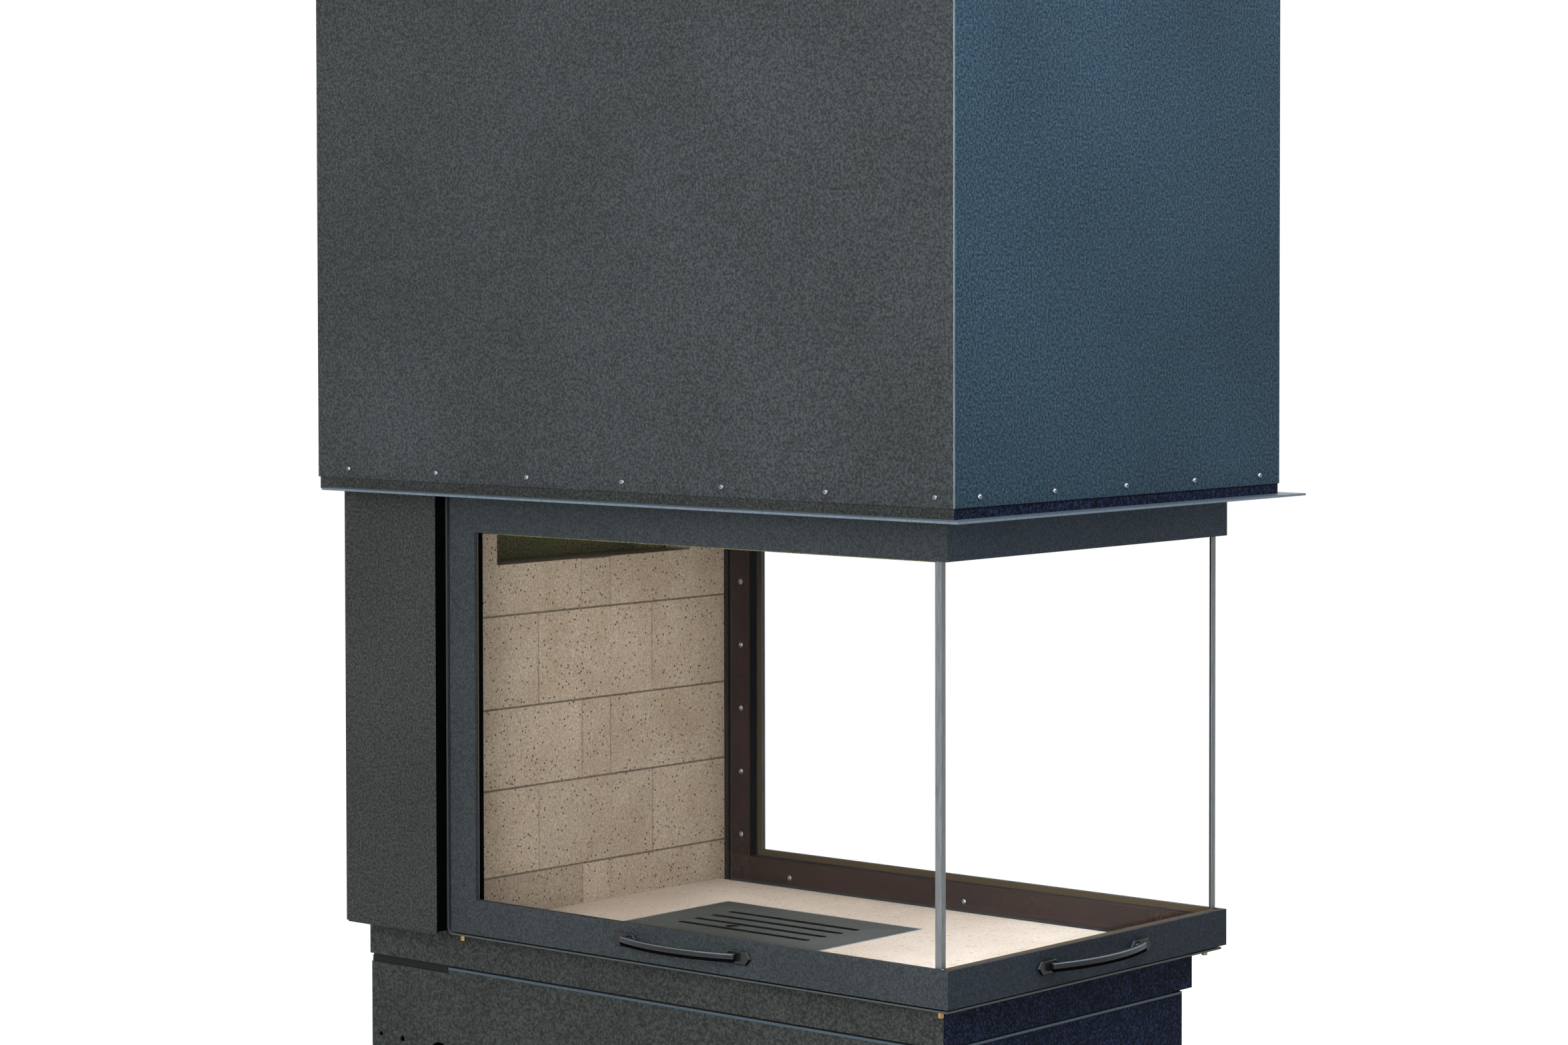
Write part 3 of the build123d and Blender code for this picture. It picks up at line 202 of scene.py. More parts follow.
def made_mesh(name: str, shape: bmesh.types.BMesh) -> bpy.types.Mesh:
    """Turn a shape into a mesh, and free the shape.

    Args:
        name: Name of the mesh.
        shape: Shape to turn.

    Returns:
        The mesh.
    """
    mesh = bpy.data.meshes.new(name)
    shape.to_mesh(mesh)
    shape.free()
    return mesh


def faces_end(face: bpy.types.MeshPolygon) -> bool:
    """Tell whether a face looks out of the short end."""
    return face.normal.x > PLAINLY


def faces_down(face: bpy.types.MeshPolygon) -> bool:
    """Tell whether a face looks down or slants down."""
    return face.normal.z < -SLANTING


def stands(face: bpy.types.MeshPolygon) -> bool:
    """Tell whether a face stands upright or looks down."""
    return face.normal.z < PLAINLY


def lies_under(height: float) -> FaceTest:
    """Return a test for faces whose middle is under a height in metres."""
    return lambda face: face.center.z < height


def lies_over(height: float) -> FaceTest:
    """Return a test for faces whose middle is over a height in metres."""
    return lambda face: face.center.z > height


class Surface(Enum):
    """How a coat was laid on: the size of its grain in millimetres, and how far the grain stands out."""

    POWDER = (3.4, 0.35)
    SPRAYED = (2.6, 0.18)
    GLOSS = (6.0, 0.02)

    def __init__(self, grain_mm: float, relief: float) -> None:
        """Keep the size and the relief of the grain."""
        self.grain_mm = grain_mm
        self.relief = relief


@dataclass(frozen=True)
class Finish:
    """A finish with its own procedural material."""

    name: str
    colour: str

    def material(self) -> bpy.types.Material:
        """Give this finish's material, made the first time it is asked for.

        Returns:
            The material.
        """
        found = bpy.data.materials.get(self.name)
        if found:
            return found
        made = bpy.data.materials.new(self.name)
        made.use_nodes = True
        tree = made.node_tree
        place = add_node(tree, "ShaderNodeTexCoord").outputs["Object"]
        self.mix(tree, tree.nodes["Principled BSDF"], place)
        return made

    def mix(self, tree: bpy.types.NodeTree, shader: bpy.types.Node, place: bpy.types.NodeSocket) -> None:
        """Build the pattern of the finish. Each kind has its own.

        Args:
            tree: The material's tree.
            shader: Its Principled node.
            place: Object coordinates.
        """
        raise NotImplementedError


@dataclass(frozen=True)
class Coat(Finish):
    """Paint or blacking on steel and iron: fine grain, faint clouds, and a soft gloss."""

    fleck: str
    pale: str
    surface: Surface = Surface.POWDER
    roughness: float = 0.6
    gloss_spread: tuple[float, float] = (-0.08, 0.1)
    shine: float = 0.12
    cloud_mm: float = 286.0
    relief_mm: float = 0.4

    def mix(self, tree: bpy.types.NodeTree, shader: bpy.types.Node, place: bpy.types.NodeSocket) -> None:
        """Lay flecks of a few millimetres, coarser than real so that they show, over faint clouds.

        Args:
            tree: The material's tree.
            shader: Its Principled node.
            place: Object coordinates.
        """
        per_metre = 1 / (self.surface.grain_mm * MM)
        grain = add_node(tree, "ShaderNodeTexNoise", Vector=place, Scale=per_metre, Detail=3.0).outputs["Fac"]
        cloud = add_node(tree, "ShaderNodeTexNoise", Vector=place, Scale=1 / (self.cloud_mm * MM), Detail=2.0)
        flecks = [(0.34, self.fleck), (0.5, self.colour), (0.68, self.pale)]
        clouds = [(0.3, "#e6e6e6"), (0.7, "#ffffff")]
        tone = add_node(tree, "ShaderNodeValToRGB", {"stops": flecks}, Fac=grain)
        shade = add_node(tree, "ShaderNodeValToRGB", {"stops": clouds}, Fac=cloud.outputs["Fac"])
        mixed = add_node(tree, "ShaderNodeMix", MULTIPLIED, in0=1.0, in6=tone.outputs["Color"],
                         in7=shade.outputs["Color"])
        low, high = self.gloss_spread
        gloss = add_node(tree, "ShaderNodeMapRange", Value=grain, To_Min=self.roughness + low,
                         To_Max=self.roughness + high)
        bump = add_node(tree, "ShaderNodeBump", Strength=self.surface.relief, Distance=self.relief_mm * MM,
                        Height=grain)
        feed(shader, Base_Color=mixed.outputs[2], Roughness=gloss.outputs[0], Normal=bump.outputs[0],
             Specular_IOR_Level=self.shine)


@dataclass(frozen=True)
class Metal(Finish):
    """Bare or plated metal with fine drawing marks."""

    roughness: float = 0.35
    gloss_spread: tuple[float, float] = (-0.08, 0.12)
    metallic: float = 1.0
    mark_mm: float = 1.5
    mark_squeeze: float = 0.06

    def mix(self, tree: bpy.types.NodeTree, shader: bpy.types.Node, place: bpy.types.NodeSocket) -> None:
        """Draw faint upright marks, along which the gloss varies.

        Args:
            tree: The material's tree.
            shader: Its Principled node.
            place: Object coordinates.
        """
        drawn = add_node(tree, "ShaderNodeMapping", Vector=place, Scale=(1.0, 1.0, self.mark_squeeze))
        marks = add_node(tree, "ShaderNodeTexNoise", Vector=drawn.outputs[0], Scale=1 / (self.mark_mm * MM),
                         Detail=2.0).outputs["Fac"]
        tone = add_node(tree, "ShaderNodeValToRGB", {"stops": [(0.25, "#d4d4d4"), (0.6, "#ffffff")]},
                        Fac=marks)
        mixed = add_node(tree, "ShaderNodeMix", MULTIPLIED, in0=1.0, in6=linear(self.colour),
                         in7=tone.outputs["Color"])
        low, high = self.gloss_spread
        gloss = add_node(tree, "ShaderNodeMapRange", Value=marks, To_Min=self.roughness + low,
                         To_Max=self.roughness + high)
        feed(shader, Base_Color=mixed.outputs[2], Roughness=gloss.outputs[0], Metallic=self.metallic)


@dataclass(frozen=True)
class Clay(Finish):
    """Pressed fireclay: a sandy face with dark pits."""

    pit: str
    grit: str
    pale: str
    pit_spacing_mm: float = 9.0
    pit_reach: tuple[float, float] = (0.04, 0.36)
    pit_edge: tuple[float, float] = (-0.02, 0.05)
    sand_mm: float = 3.2
    cloud_mm: float = 71.4
    mottle: str = "#ece7e1"
    relief_mm: float = 0.8
    roughness: float = 0.9
    shine: float = 0.2
    toned: bool = False

    def mix(self, tree: bpy.types.NodeTree, shader: bpy.types.Node, place: bpy.types.NodeSocket) -> None:
        """Strew round pits over sand, coarser than real so that they show.

        The reach of a pit is a share of their spacing. Where bricks differ, their faces carry the tone in an
        attribute, which also holds the painted shade on the faces of their joints.

        Args:
            tree: The material's tree.
            shader: Its Principled node.
            place: Object coordinates.
        """
        sand = add_node(tree, "ShaderNodeTexNoise", Vector=place, Scale=1 / (self.sand_mm * MM), Detail=4.0,
                        Roughness=0.65).outputs["Fac"]
        cloud = add_node(tree, "ShaderNodeTexNoise", Vector=place, Scale=1 / (self.cloud_mm * MM), Detail=3.0)
        pits = add_node(tree, "ShaderNodeTexVoronoi", Vector=place, Scale=1 / (self.pit_spacing_mm * MM),
                        Randomness=1.0)
        size = add_node(tree, "ShaderNodeSeparateColor", Color=pits.outputs["Color"])
        small, large = self.pit_reach
        reach = add_node(tree, "ShaderNodeMapRange", Value=size.outputs[0], From_Min=0.3, From_Max=1.0,
                         To_Min=small, To_Max=large)
        inside = add_node(tree, "ShaderNodeMath", {"operation": "SUBTRACT"}, in0=reach.outputs[0],
                          in1=pits.outputs["Distance"])
        outer, inner = self.pit_edge
        hole = add_node(tree, "ShaderNodeMapRange", Value=inside.outputs[0], From_Min=outer,
                        From_Max=inner).outputs[0]
        grains = [(0.3, self.grit), (0.5, self.colour), (0.7, self.pale)]
        clouds = [(0.3, self.mottle), (0.7, "#ffffff")]
        tone = add_node(tree, "ShaderNodeValToRGB", {"stops": grains}, Fac=sand)
        shade = add_node(tree, "ShaderNodeValToRGB", {"stops": clouds}, Fac=cloud.outputs["Fac"])
        body = add_node(tree, "ShaderNodeMix", MULTIPLIED, in0=1.0, in6=tone.outputs["Color"],
                        in7=shade.outputs["Color"]).outputs[2]
        if self.toned:
            own = add_node(tree, "ShaderNodeAttribute", {"attribute_name": "tone"}).outputs["Fac"]
            body = add_node(tree, "ShaderNodeVectorMath", {"operation": "SCALE"}, in0=body,
                            Scale=own).outputs[0]
        dark = add_node(tree, "ShaderNodeMix", {"data_type": "RGBA"}, in0=hole, in6=body,
                        in7=linear(self.pit))
        depth = add_node(tree, "ShaderNodeMath", {"operation": "MULTIPLY_ADD"}, in0=hole, in1=-1.0, in2=sand)
        bump = add_node(tree, "ShaderNodeBump", Strength=0.5, Distance=self.relief_mm * MM,
                        Height=depth.outputs[0])
        feed(shader, Base_Color=dark.outputs[2], Normal=bump.outputs[0], Roughness=self.roughness,
             Specular_IOR_Level=self.shine)


@dataclass(frozen=True)
class Weave(Finish):
    """Glass-fibre tape or rope, with a woven relief."""

    shadow: str
    thread_mm: float = 1.4
    relief_mm: float = 0.5
    roughness: float = 0.85

    def mix(self, tree: bpy.types.NodeTree, shader: bpy.types.Node, place: bpy.types.NodeSocket) -> None:
        """Cross two sets of threads. At a scale of 1 a wave node lays 20 bands in 2 pi metres.

        Args:
            tree: The material's tree.
            shader: Its Principled node.
            place: Object coordinates.
        """
        bands = 20
        scale = 2 * math.pi / (self.thread_mm * MM) / bands
        one, two = (add_node(tree, "ShaderNodeTexWave", {"bands_direction": way}, Vector=place, Scale=scale,
                             Distortion=0.6).outputs["Fac"] for way in ("DIAGONAL", "Z"))
        both = add_node(tree, "ShaderNodeMath", {"operation": "MULTIPLY"}, in0=one, in1=two).outputs[0]
        tone = add_node(tree, "ShaderNodeValToRGB", {"stops": [(0.0, self.shadow), (0.45, self.colour)]},
                        Fac=both)
        bump = add_node(tree, "ShaderNodeBump", Strength=0.4, Distance=self.relief_mm * MM, Height=both)
        feed(shader, Base_Color=tone.outputs["Color"], Normal=bump.outputs[0], Roughness=self.roughness)


@dataclass(frozen=True)
class Pane(Finish):
    """Clear ceramic glass that lets lamps through."""

    ior: float = 1.12
    film_mm: float = 111.0
    film_roughness: float = 0.015

    def mix(self, tree: bpy.types.NodeTree, shader: bpy.types.Node, place: bpy.types.NodeSocket) -> None:
        """Give glass a faint, uneven polish. Its IOR is under that of real glass, for dim reflections.

        Args:
            tree: The material's tree.
            shader: Its Principled node.
            place: Object coordinates.
        """
        film = add_node(tree, "ShaderNodeTexNoise", Vector=place, Scale=1 / (self.film_mm * MM), Detail=3.0)
        gloss = add_node(tree, "ShaderNodeMapRange", Value=film.outputs["Fac"], To_Min=0.0,
                         To_Max=self.film_roughness)
        feed(shader, Roughness=gloss.outputs[0], Base_Color=linear(self.colour), Transmission_Weight=1.0,
             IOR=self.ior)
        clear = add_node(tree, "ShaderNodeBsdfTransparent", Color=linear(self.colour))
        lamp = add_node(tree, "ShaderNodeLightPath").outputs["Is Shadow Ray"]
        both = add_node(tree, "ShaderNodeMixShader", in0=lamp, in1=shader.outputs[0], in2=clear.outputs[0])
        feed(tree.nodes["Material Output"], Surface=both.outputs[0])


# Oven-cured powder coat on the hood: dull charcoal with a fine fleck. Its end gets a darker, bluer copy:
# painted shade in cool light.
HOOD = Coat("hood_powder_coat", "#373b3d", fleck="#26292a", pale="#484e4f")
HOOD_END_COOL_SHADE = Coat("hood_end_powder_coat", "#263945", fleck="#131f29", pale="#3a5361", roughness=0.5)
# Sprayed stove paint, smoother than powder coat: slate on the door. Its end faces get copies of it: bluer in
# painted cool light on the rails and stiles above, and darker in painted shade at the foot, as the ends of
# the base have theirs.
DOOR = Coat("door_stove_paint", "#33383b", fleck="#282c2f", pale="#3f4549", surface=Surface.SPRAYED)
DOOR_END_COOL_LIGHT = Coat("door_end_painted_cool_light", "#343c45", fleck="#29303a", pale="#414a54", surface=Surface.SPRAYED)
DOOR_FOOT_END_SHADE = Coat("door_foot_end_painted_shade", "#242a31", fleck="#191e25", pale="#30373f",
                     surface=Surface.SPRAYED)
# Stove paint on the base, as coarse as powder coat: dull charcoal with a visible fleck.
BASE = Coat("base_stove_paint", "#323533", fleck="#202321", pale="#444845")
# Painted shade: a darker, bluer copy of the base paint for the end faces, on the side away from the lamps.
BASE_END_COOL_SHADE = Coat("base_end_painted_cool_shade", "#111727", fleck="#020409", pale="#28334e", shine=0.05)
# Black stove paint on what stays inside, and the same paint browned by heat round the glass.
DARK = Coat("black_stove_paint", "#1a1b1d", fleck="#121314", pale="#262729", surface=Surface.SPRAYED)
INNER = Coat("heat_browned_paint", "#241814", fleck="#1c100e", pale="#42302a", surface=Surface.SPRAYED)
# Scale that smoke leaves on bare steel: olive brown, blotched, quite dull.
SOOT = Coat("smoke_scaled_steel", "#7c8056", fleck="#5d4c44", pale="#8f9463", roughness=0.9, shine=0.05)
# Painted shade: near-black paint in folds, gaps and under edges, where no light reaches.
SHADE = Coat("painted_shade_black", "#08090b", fleck="#050506", pale="#0d0e11", surface=Surface.SPRAYED,
             shine=0.0)
# Baked enamel on the handles: deep black, with a clear highlight along the bow; its top gets a painted
# highlight in blued steel, its underside painted shade.
ENAMEL = Coat("black_satin_enamel", "#191919", fleck="#151515", pale="#1f1f1f", surface=Surface.GLOSS,
              roughness=0.22, shine=0.4)
# Blacked cast iron of the grate, pulleys and weights: grey, with a sandy grain from its mould.
IRON = Coat("blacked_cast_iron", "#4a4f4d", fleck="#363a38", pale="#5b615e", roughness=0.62)
# Zinc plate on small parts, which stays bright; blued steel, which also gives a painted highlight to lit
# edges and corners; and a painted cool highlight along a top edge of the base.
ZINC = Metal("zinc_plated_steel", "#a9afb3", roughness=0.3)
BLUED_STEEL_AND_HIGHLIGHT = Metal("blued_steel_edge", "#6f7d88", roughness=0.42, metallic=0.6)
BOX_EDGE_HIGHLIGHT = Metal("painted_blue_edge_highlight", "#41525e", roughness=0.5, metallic=0.3)
# Dull steel of the seal edge, brushed steel where two panes meet, and turned brass of the stops.
SEAL = Metal("dull_seal_steel", "#4b5150", roughness=0.5, metallic=0.5)
STRIP = Metal("brushed_corner_steel", "#7d8082", roughness=0.36, metallic=0.7)
BRASS = Metal("turned_brass", "#a98a5a", roughness=0.25)
# Pressed fireclay of the wall, brick by brick in tone, and the paler, smoother clay cast for the floor.
BRICK = Clay("pressed_fireclay", "#b3a593", pit="#3f362e", grit="#918474", pale="#cfc2b0", toned=True)
HEARTH = Clay("cast_hearth_clay", "#cfc2b5", pit="#b9aa9a", grit="#baac9d", pale="#ded4c9",
              pit_spacing_mm=12.0, mottle="#f6f3ef")
# Pressed vermiculite of the baffle: warm tan, soft, with close pits.
BOARD = Clay("vermiculite_board", "#c9bb9a", pit="#8d7c58", grit="#b5a47f", pale="#d8cdb0",
             pit_spacing_mm=7.0)
# Woven glass fibre: crossing threads with dark gaps, golden tape at the panes and grey rope under the dome.
TAPE = Weave("golden_glass_tape", "#85704a", shadow="#2c2418")
ROPE = Weave("grey_glass_rope", "#4c4a45", shadow="#26241f", thread_mm=3.0)
# Polished ceramic glass: clear, with dim reflections.
GLASS = Pane("clear_ceramic_glass", "#ffffff")


def share_out(mesh: bpy.types.Mesh, finish: Finish, others: Sequence[tuple[Finish, FaceTest]] = ()) -> None:
    """Give a mesh its finish, and its picked faces others.

    Args:
        mesh: Mesh without materials.
        finish: Finish of all other faces.
        others: More finishes, each with the test that picks its faces. The last that fits holds.
    """
    mesh.materials.append(finish.material())
    for index, (other, fits) in enumerate(others, 1):
        mesh.materials.append(other.material())
        for face in mesh.polygons:
            if fits(face):
                face.material_index = index


@dataclass
class Kit:
    """Dresses nodes and reports them."""

    made: int = 0

    def body(self, node: str) -> str:
        """Return the body that holds a node."""
        groups = frame["record"]["behaviour"]["bodies"]
        return next(name for name, members in groups.items() if node in members)

    def paint(self, node: str, finish: Finish) -> None:
        """Give a node that keeps its own mesh its finish.

        Args:
            node: Node to paint.
            finish: Its finish.
        """
        thing = frame["nodes"][node]
        if not thing.material_slots:
            thing.data.materials.append(finish.material())
        for place in thing.material_slots:
            place.material = finish.material()
        self.made += 1
        LOG.info("painted %s with %s", node, finish.name)

    def settle(self, piece: bpy.types.Object, node: str) -> bpy.types.Object:
        """Put a finished piece on its body, in place of its node.

        Args:
            piece: Piece with its place in its mesh.
            node: Node that it stands for.

        Returns:
            The same piece.
        """
        body = self.body(node)
        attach(piece, body)
        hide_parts(node)
        self.made += 1
        LOG.info("built %s on %s", piece.name, body)
        return piece

    def eased(self, node: str, finish: Finish, width_mm: float, segments: int = 2,
              others: Sequence[tuple[Finish, FaceTest]] = (),
              cut_mm: float | None = None) -> bpy.types.Object:
        """Copy a node with its sharp edges broken, as a real part's are, and let the copy stand for it.

        Args:
            node: Node to copy.
            finish: Its finish.
            width_mm: Width of the broken edge. None are broken at 0.
            segments: Steps across the edge.
            others: More finishes, each with the test that picks its faces. The last that fits holds.
            cut_mm: Height at which faces are cut in two, so that a finish can end there.

        Returns:
            The copy.
        """
        shape = merged_copy(node)
        bmesh.ops.dissolve_limit(shape, angle_limit=math.radians(FLAT_DEG), verts=shape.verts[:],
                                 edges=shape.edges[:])
        if width_mm:
            sharp = [edge for edge in shape.edges
                     if len(edge.link_faces) == 2 and edge.calc_face_angle() > math.radians(SHARP_DEG)]
            bmesh.ops.bevel(shape, geom=sharp, offset=width_mm * MM, segments=segments, profile=0.5,
                            affect="EDGES", clamp_overlap=True)
        if cut_mm is not None:
            bmesh.ops.bisect_plane(shape, geom=shape.verts[:] + shape.edges[:] + shape.faces[:],
                                   plane_co=(0, 0, cut_mm * MM), plane_no=(0, 0, 1))
        mesh = made_mesh(node + "_eased", shape)
        piece = in_scene(node + "_eased", mesh)
        if width_mm:
            smooth(mesh, SMOOTH_EDGE_DEG)
        share_out(mesh, finish, others)
        return self.settle(piece, node)


def repeat_tree() -> bpy.types.NodeTree:
    """Build the tree that sets a small part on every marked point.

    Returns:
        A tree with inputs for the part, its size and its finish, which reads each point's facing.
    """
    full_turn, seed = 6.28, 7
    tree = bpy.data.node_groups.new("set_parts_on_points", "GeometryNodeTree")
    face = tree.interface
    for name, kind in (("Points", "Geometry"), ("Part", "Object"), ("Size", "Float"), ("Finish", "Material")):
        face.new_socket(name, in_out="INPUT", socket_type="NodeSocket" + kind)
    face.new_socket("Parts", in_out="OUTPUT", socket_type="NodeSocketGeometry")
    given = add_node(tree, "NodeGroupInput")
    part = add_node(tree, "GeometryNodeObjectInfo", Object=given.outputs["Part"])
    facing = add_node(tree, "GeometryNodeInputNamedAttribute", {"data_type": "FLOAT_VECTOR"}, Name="facing")
    turn = add_node(tree, "FunctionNodeAlignRotationToVector", {"axis": "Z"}, Vector=facing.outputs[0])
    spin = add_node(tree, "FunctionNodeRandomValue", {"data_type": "FLOAT_VECTOR"}, in0=(0.0, 0.0, 0.0),
                    in1=(0.0, 0.0, full_turn), Seed=seed)
    local = add_node(tree, "FunctionNodeRotateRotation", {"rotation_space": "LOCAL"},
                     Rotation=turn.outputs[0], in1=spin.outputs[0])
    placed = add_node(tree, "GeometryNodeInstanceOnPoints", Points=given.outputs["Points"],
                      Instance=part.outputs["Geometry"], Rotation=local.outputs[0],
                      Scale=given.outputs["Size"])
    real = add_node(tree, "GeometryNodeRealizeInstances", Geometry=placed.outputs[0])
    done = add_node(tree, "GeometryNodeSetMaterial", Geometry=real.outputs[0],
                    Material=given.outputs["Finish"])
    add_node(tree, "NodeGroupOutput", in0=done.outputs[0])
    return tree


@dataclass
class ScrewSet:
    """Rows of one kind of screw, set by a geometry tree on the places read from their node."""

    node: str
    radius_mm: float
    dome_mm: float
    socket_mm: float
    finish: Finish
    shank_mm: float = 2.2
    shank_share: float = 0.5
    socket_floor_share: float = 0.3
    dome_shares: tuple[tuple[float, float], ...] = ((1.0, 0.0), (1.0, 0.35), (0.86, 0.75), (0.6, 1.0))
    rim_share: float = 0.8
    sides: int = 24

    def ring(self, shape: bmesh.types.BMesh, radius_mm: float, height_mm: float,
             hexagon: bool = False) -> list[bmesh.types.BMVert]:
        """Lay one ring of corners about the Z axis.

        Args:
            shape: Shape that gets them.
            radius_mm: Radius, out to the points of a hexagon.
            height_mm: Height.
            hexagon: Whether the ring is a hexagon, not a circle.

        Returns:
            The corners in order.
        """
        side_angle = math.pi / 3
        places = []
        for i in range(self.sides):
            angle = 2 * math.pi * i / self.sides
            reach = radius_mm
            if hexagon:
                off = (angle % side_angle) - side_angle / 2
                reach = radius_mm * math.cos(side_angle / 2) / math.cos(off)
            places.append((reach * math.cos(angle), reach * math.sin(angle), height_mm))
        return corners(shape, places)

    def head(self) -> bpy.types.Object:
        """Make one domed head with a hexagon socket and a short shank, its seat at the origin along +Z.

        Returns:
            The head, outside the scene.
        """
        shape = bmesh.new()
        shank = self.radius_mm * self.shank_share
        loops = [self.ring(shape, shank, height) for height in (-self.shank_mm, 0.0)]
        loops += [self.ring(shape, self.radius_mm * out, self.dome_mm * up) for out, up in self.dome_shares]
        loops += [self.ring(shape, self.socket_mm, self.dome_mm * up, hexagon=True)
                  for up in (1.0, self.socket_floor_share)]
        skin(shape, loops)
        bmesh.ops.recalc_face_normals(shape, faces=shape.faces[:])
        return bpy.data.objects.new("screw_head", made_mesh("screw_head", shape))

    def places(self) -> list[tuple[Vector, Vector]]:
        """Find each screw among the separate solids of the node.

        Returns:
            The seat and the facing of each.
        """
        shape = merged_copy(self.node)
        seen: set[bmesh.types.BMVert] = set()
        found = []
        for vert in shape.verts:
            if vert in seen:
                continue
            group, queue = [], [vert]
            seen.add(vert)
            while queue:
                here = queue.pop()
                group.append(here.co.copy())
                for edge in here.link_edges:
                    other = edge.other_vert(here)
                    if other not in seen:
                        seen.add(other)
                        queue.append(other)
            found.append(self.seat(group))
        shape.free()
        return found

    def seat(self, points: list[Vector]) -> tuple[Vector, Vector]:
        """Find where one screw's head sits and which way it faces.

        Args:
            points: All corners of one screw.

        Returns:
            The middle of the underside of its head, and its outward direction.
        """
        low = Vector([min(p[i] for p in points) for i in range(3)])
        high = Vector([max(p[i] for p in points) for i in range(3)])
        middle = (low + high) / 2
        spans = high - low
        axis = max(range(2), key=lambda i: abs(spans[i] - spans[2]))
        rim = [p[axis] for p in points if abs(p[2] - middle[2]) > self.rim_share * self.radius_mm * MM]
        outward = 1.0 if sum(rim) / len(rim) > middle[axis] else -1.0
        facing = Vector((0, 0, 0))
        facing[axis] = outward
        seat = middle.copy()
        seat[axis] = min(rim) if outward > 0 else max(rim)
        return seat, facing

    def build(self, kit: Kit, tree: bpy.types.NodeTree) -> bpy.types.Object:
        """Set the screws and let them stand for their node.

        Args:
            kit: Keeper of the pieces.
            tree: The repeating tree.

        Returns:
            The finished piece.
        """
        places = self.places()
        mesh = bpy.data.meshes.new(self.node + "_places")
        mesh.from_pydata([tuple(seat) for seat, _ in places], [], [])
        facing = mesh.attributes.new("facing", "FLOAT_VECTOR", "POINT")
        facing.data.foreach_set("vector", [value for _, way in places for value in way])
        marks = in_scene(self.node + "_places", mesh)
        part = self.head()
        repeat = marks.modifiers.new("set", "NODES")
        repeat.node_group = tree
        values = {"Part": part, "Size": 1.0, "Finish": self.finish.material()}
        for socket in tree.interface.items_tree:
            if socket.name in values and socket.in_out == "INPUT":
                repeat[socket.identifier] = values[socket.name]
        bpy.context.view_layer.update()
        seen = marks.evaluated_get(bpy.context.evaluated_depsgraph_get())
        made = bpy.data.meshes.new_from_object(seen)
        smooth(made, SMOOTH_FORM_DEG)
        piece = in_scene(self.node + "_set", made)
        marks.modifiers.remove(repeat)
        bpy.data.objects.remove(marks)
        bpy.data.objects.remove(part)
        return kit.settle(piece, self.node)


@dataclass
class Hood:
    """Painted hood, its flange, posts and screws."""

    edge_mm: float = 0.8
    lip_mm: float = 3.5
    screws: ScrewSet = field(default_factory=lambda: ScrewSet(
        "hood_screws", radius_mm=3.8, dome_mm=2.8, socket_mm=1.6, finish=ZINC))

    def on_corner(self, face: bpy.types.MeshPolygon) -> bool:
        """Tell whether a face is on the near corner of the hood, which gets a painted highlight."""
        return face.normal.x > SLIGHTLY and face.normal.y < -SLIGHTLY and abs(face.normal.z) < SLIGHTLY

    def dress(self, kit: Kit, tree: bpy.types.NodeTree) -> None:
        """Dress every piece of the hood. The flat lip of the flange shows its steel, with a painted
        highlight.

        Args:
            kit: Keeper of the pieces.
            tree: The repeating tree.
        """
        lip_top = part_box("mounting_flange")[0].z + self.lip_mm * MM
        # The near corner gets a painted highlight in blued steel.
        kit.eased("hood_side_panels", HOOD, self.edge_mm, others=[(BLUED_STEEL_AND_HIGHLIGHT, self.on_corner)])
        # The end panels get the darker, bluer copy of the coat: painted shade in cool light.
        kit.eased("hood_end_panels", HOOD_END_COOL_SHADE, self.edge_mm, others=[(BLUED_STEEL_AND_HIGHLIGHT, self.on_corner)])
        kit.eased("hood_top", HOOD, self.edge_mm)
        # The flange's lip gets blued steel with a painted highlight, and its end faces the base's copy in
        # painted shade.
        kit.eased("mounting_flange", BASE, self.edge_mm,
                  others=[(BASE_END_COOL_SHADE, faces_end), (BLUED_STEEL_AND_HIGHLIGHT, lies_under(lip_top))])
        kit.paint("hood_posts", DARK)
        kit.paint("flue_collar", DARK)
        self.screws.build(kit, tree)


@dataclass
class Casing:
    """Casing behind the door, the seal edge, the deck and the base under it."""

    edge_mm: float = 0.6
    small_edge_mm: float = 0.8
    highlight_mm: float = 3.5

    def dress(self, kit: Kit) -> None:
        """Dress the casing and the base, whose lower box has a painted highlight along its top edge.

        Args:
            kit: Keeper of the pieces.
        """
        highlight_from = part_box("base_panels")[1].z - self.highlight_mm * MM
        # Their end faces, in the gap beside the door, get painted shade.
        kit.eased("side_casings", BASE, self.edge_mm, others=[(SHADE, faces_end)])
        kit.eased("rear_casing", BASE, self.edge_mm)
        # End faces of the base get its copy in painted shade.
        kit.eased("base_band", BASE, self.edge_mm, others=[(BASE_END_COOL_SHADE, faces_end)])
        # A strip along the lower box's top edge gets a painted highlight, a cool light line.
        kit.eased("base_panels", BASE, self.edge_mm, cut_mm=highlight_from / MM,
                  others=[(BASE_END_COOL_SHADE, faces_end), (BOX_EDGE_HIGHLIGHT, lies_over(highlight_from))])
        kit.eased("hearth_deck", BASE, self.edge_mm)
        kit.eased("seal_edge", SEAL, self.edge_mm)
        kit.eased("door_stops", BRASS, self.small_edge_mm)
        for node in ("base_plate", "base_frame_tubes"):
            kit.paint(node, DARK)
        kit.eased("levelling_feet", ZINC, self.small_edge_mm)
        for node in ("air_pipe", "air_flap", "flap_spindle"):
            kit.paint(node, ZINC)


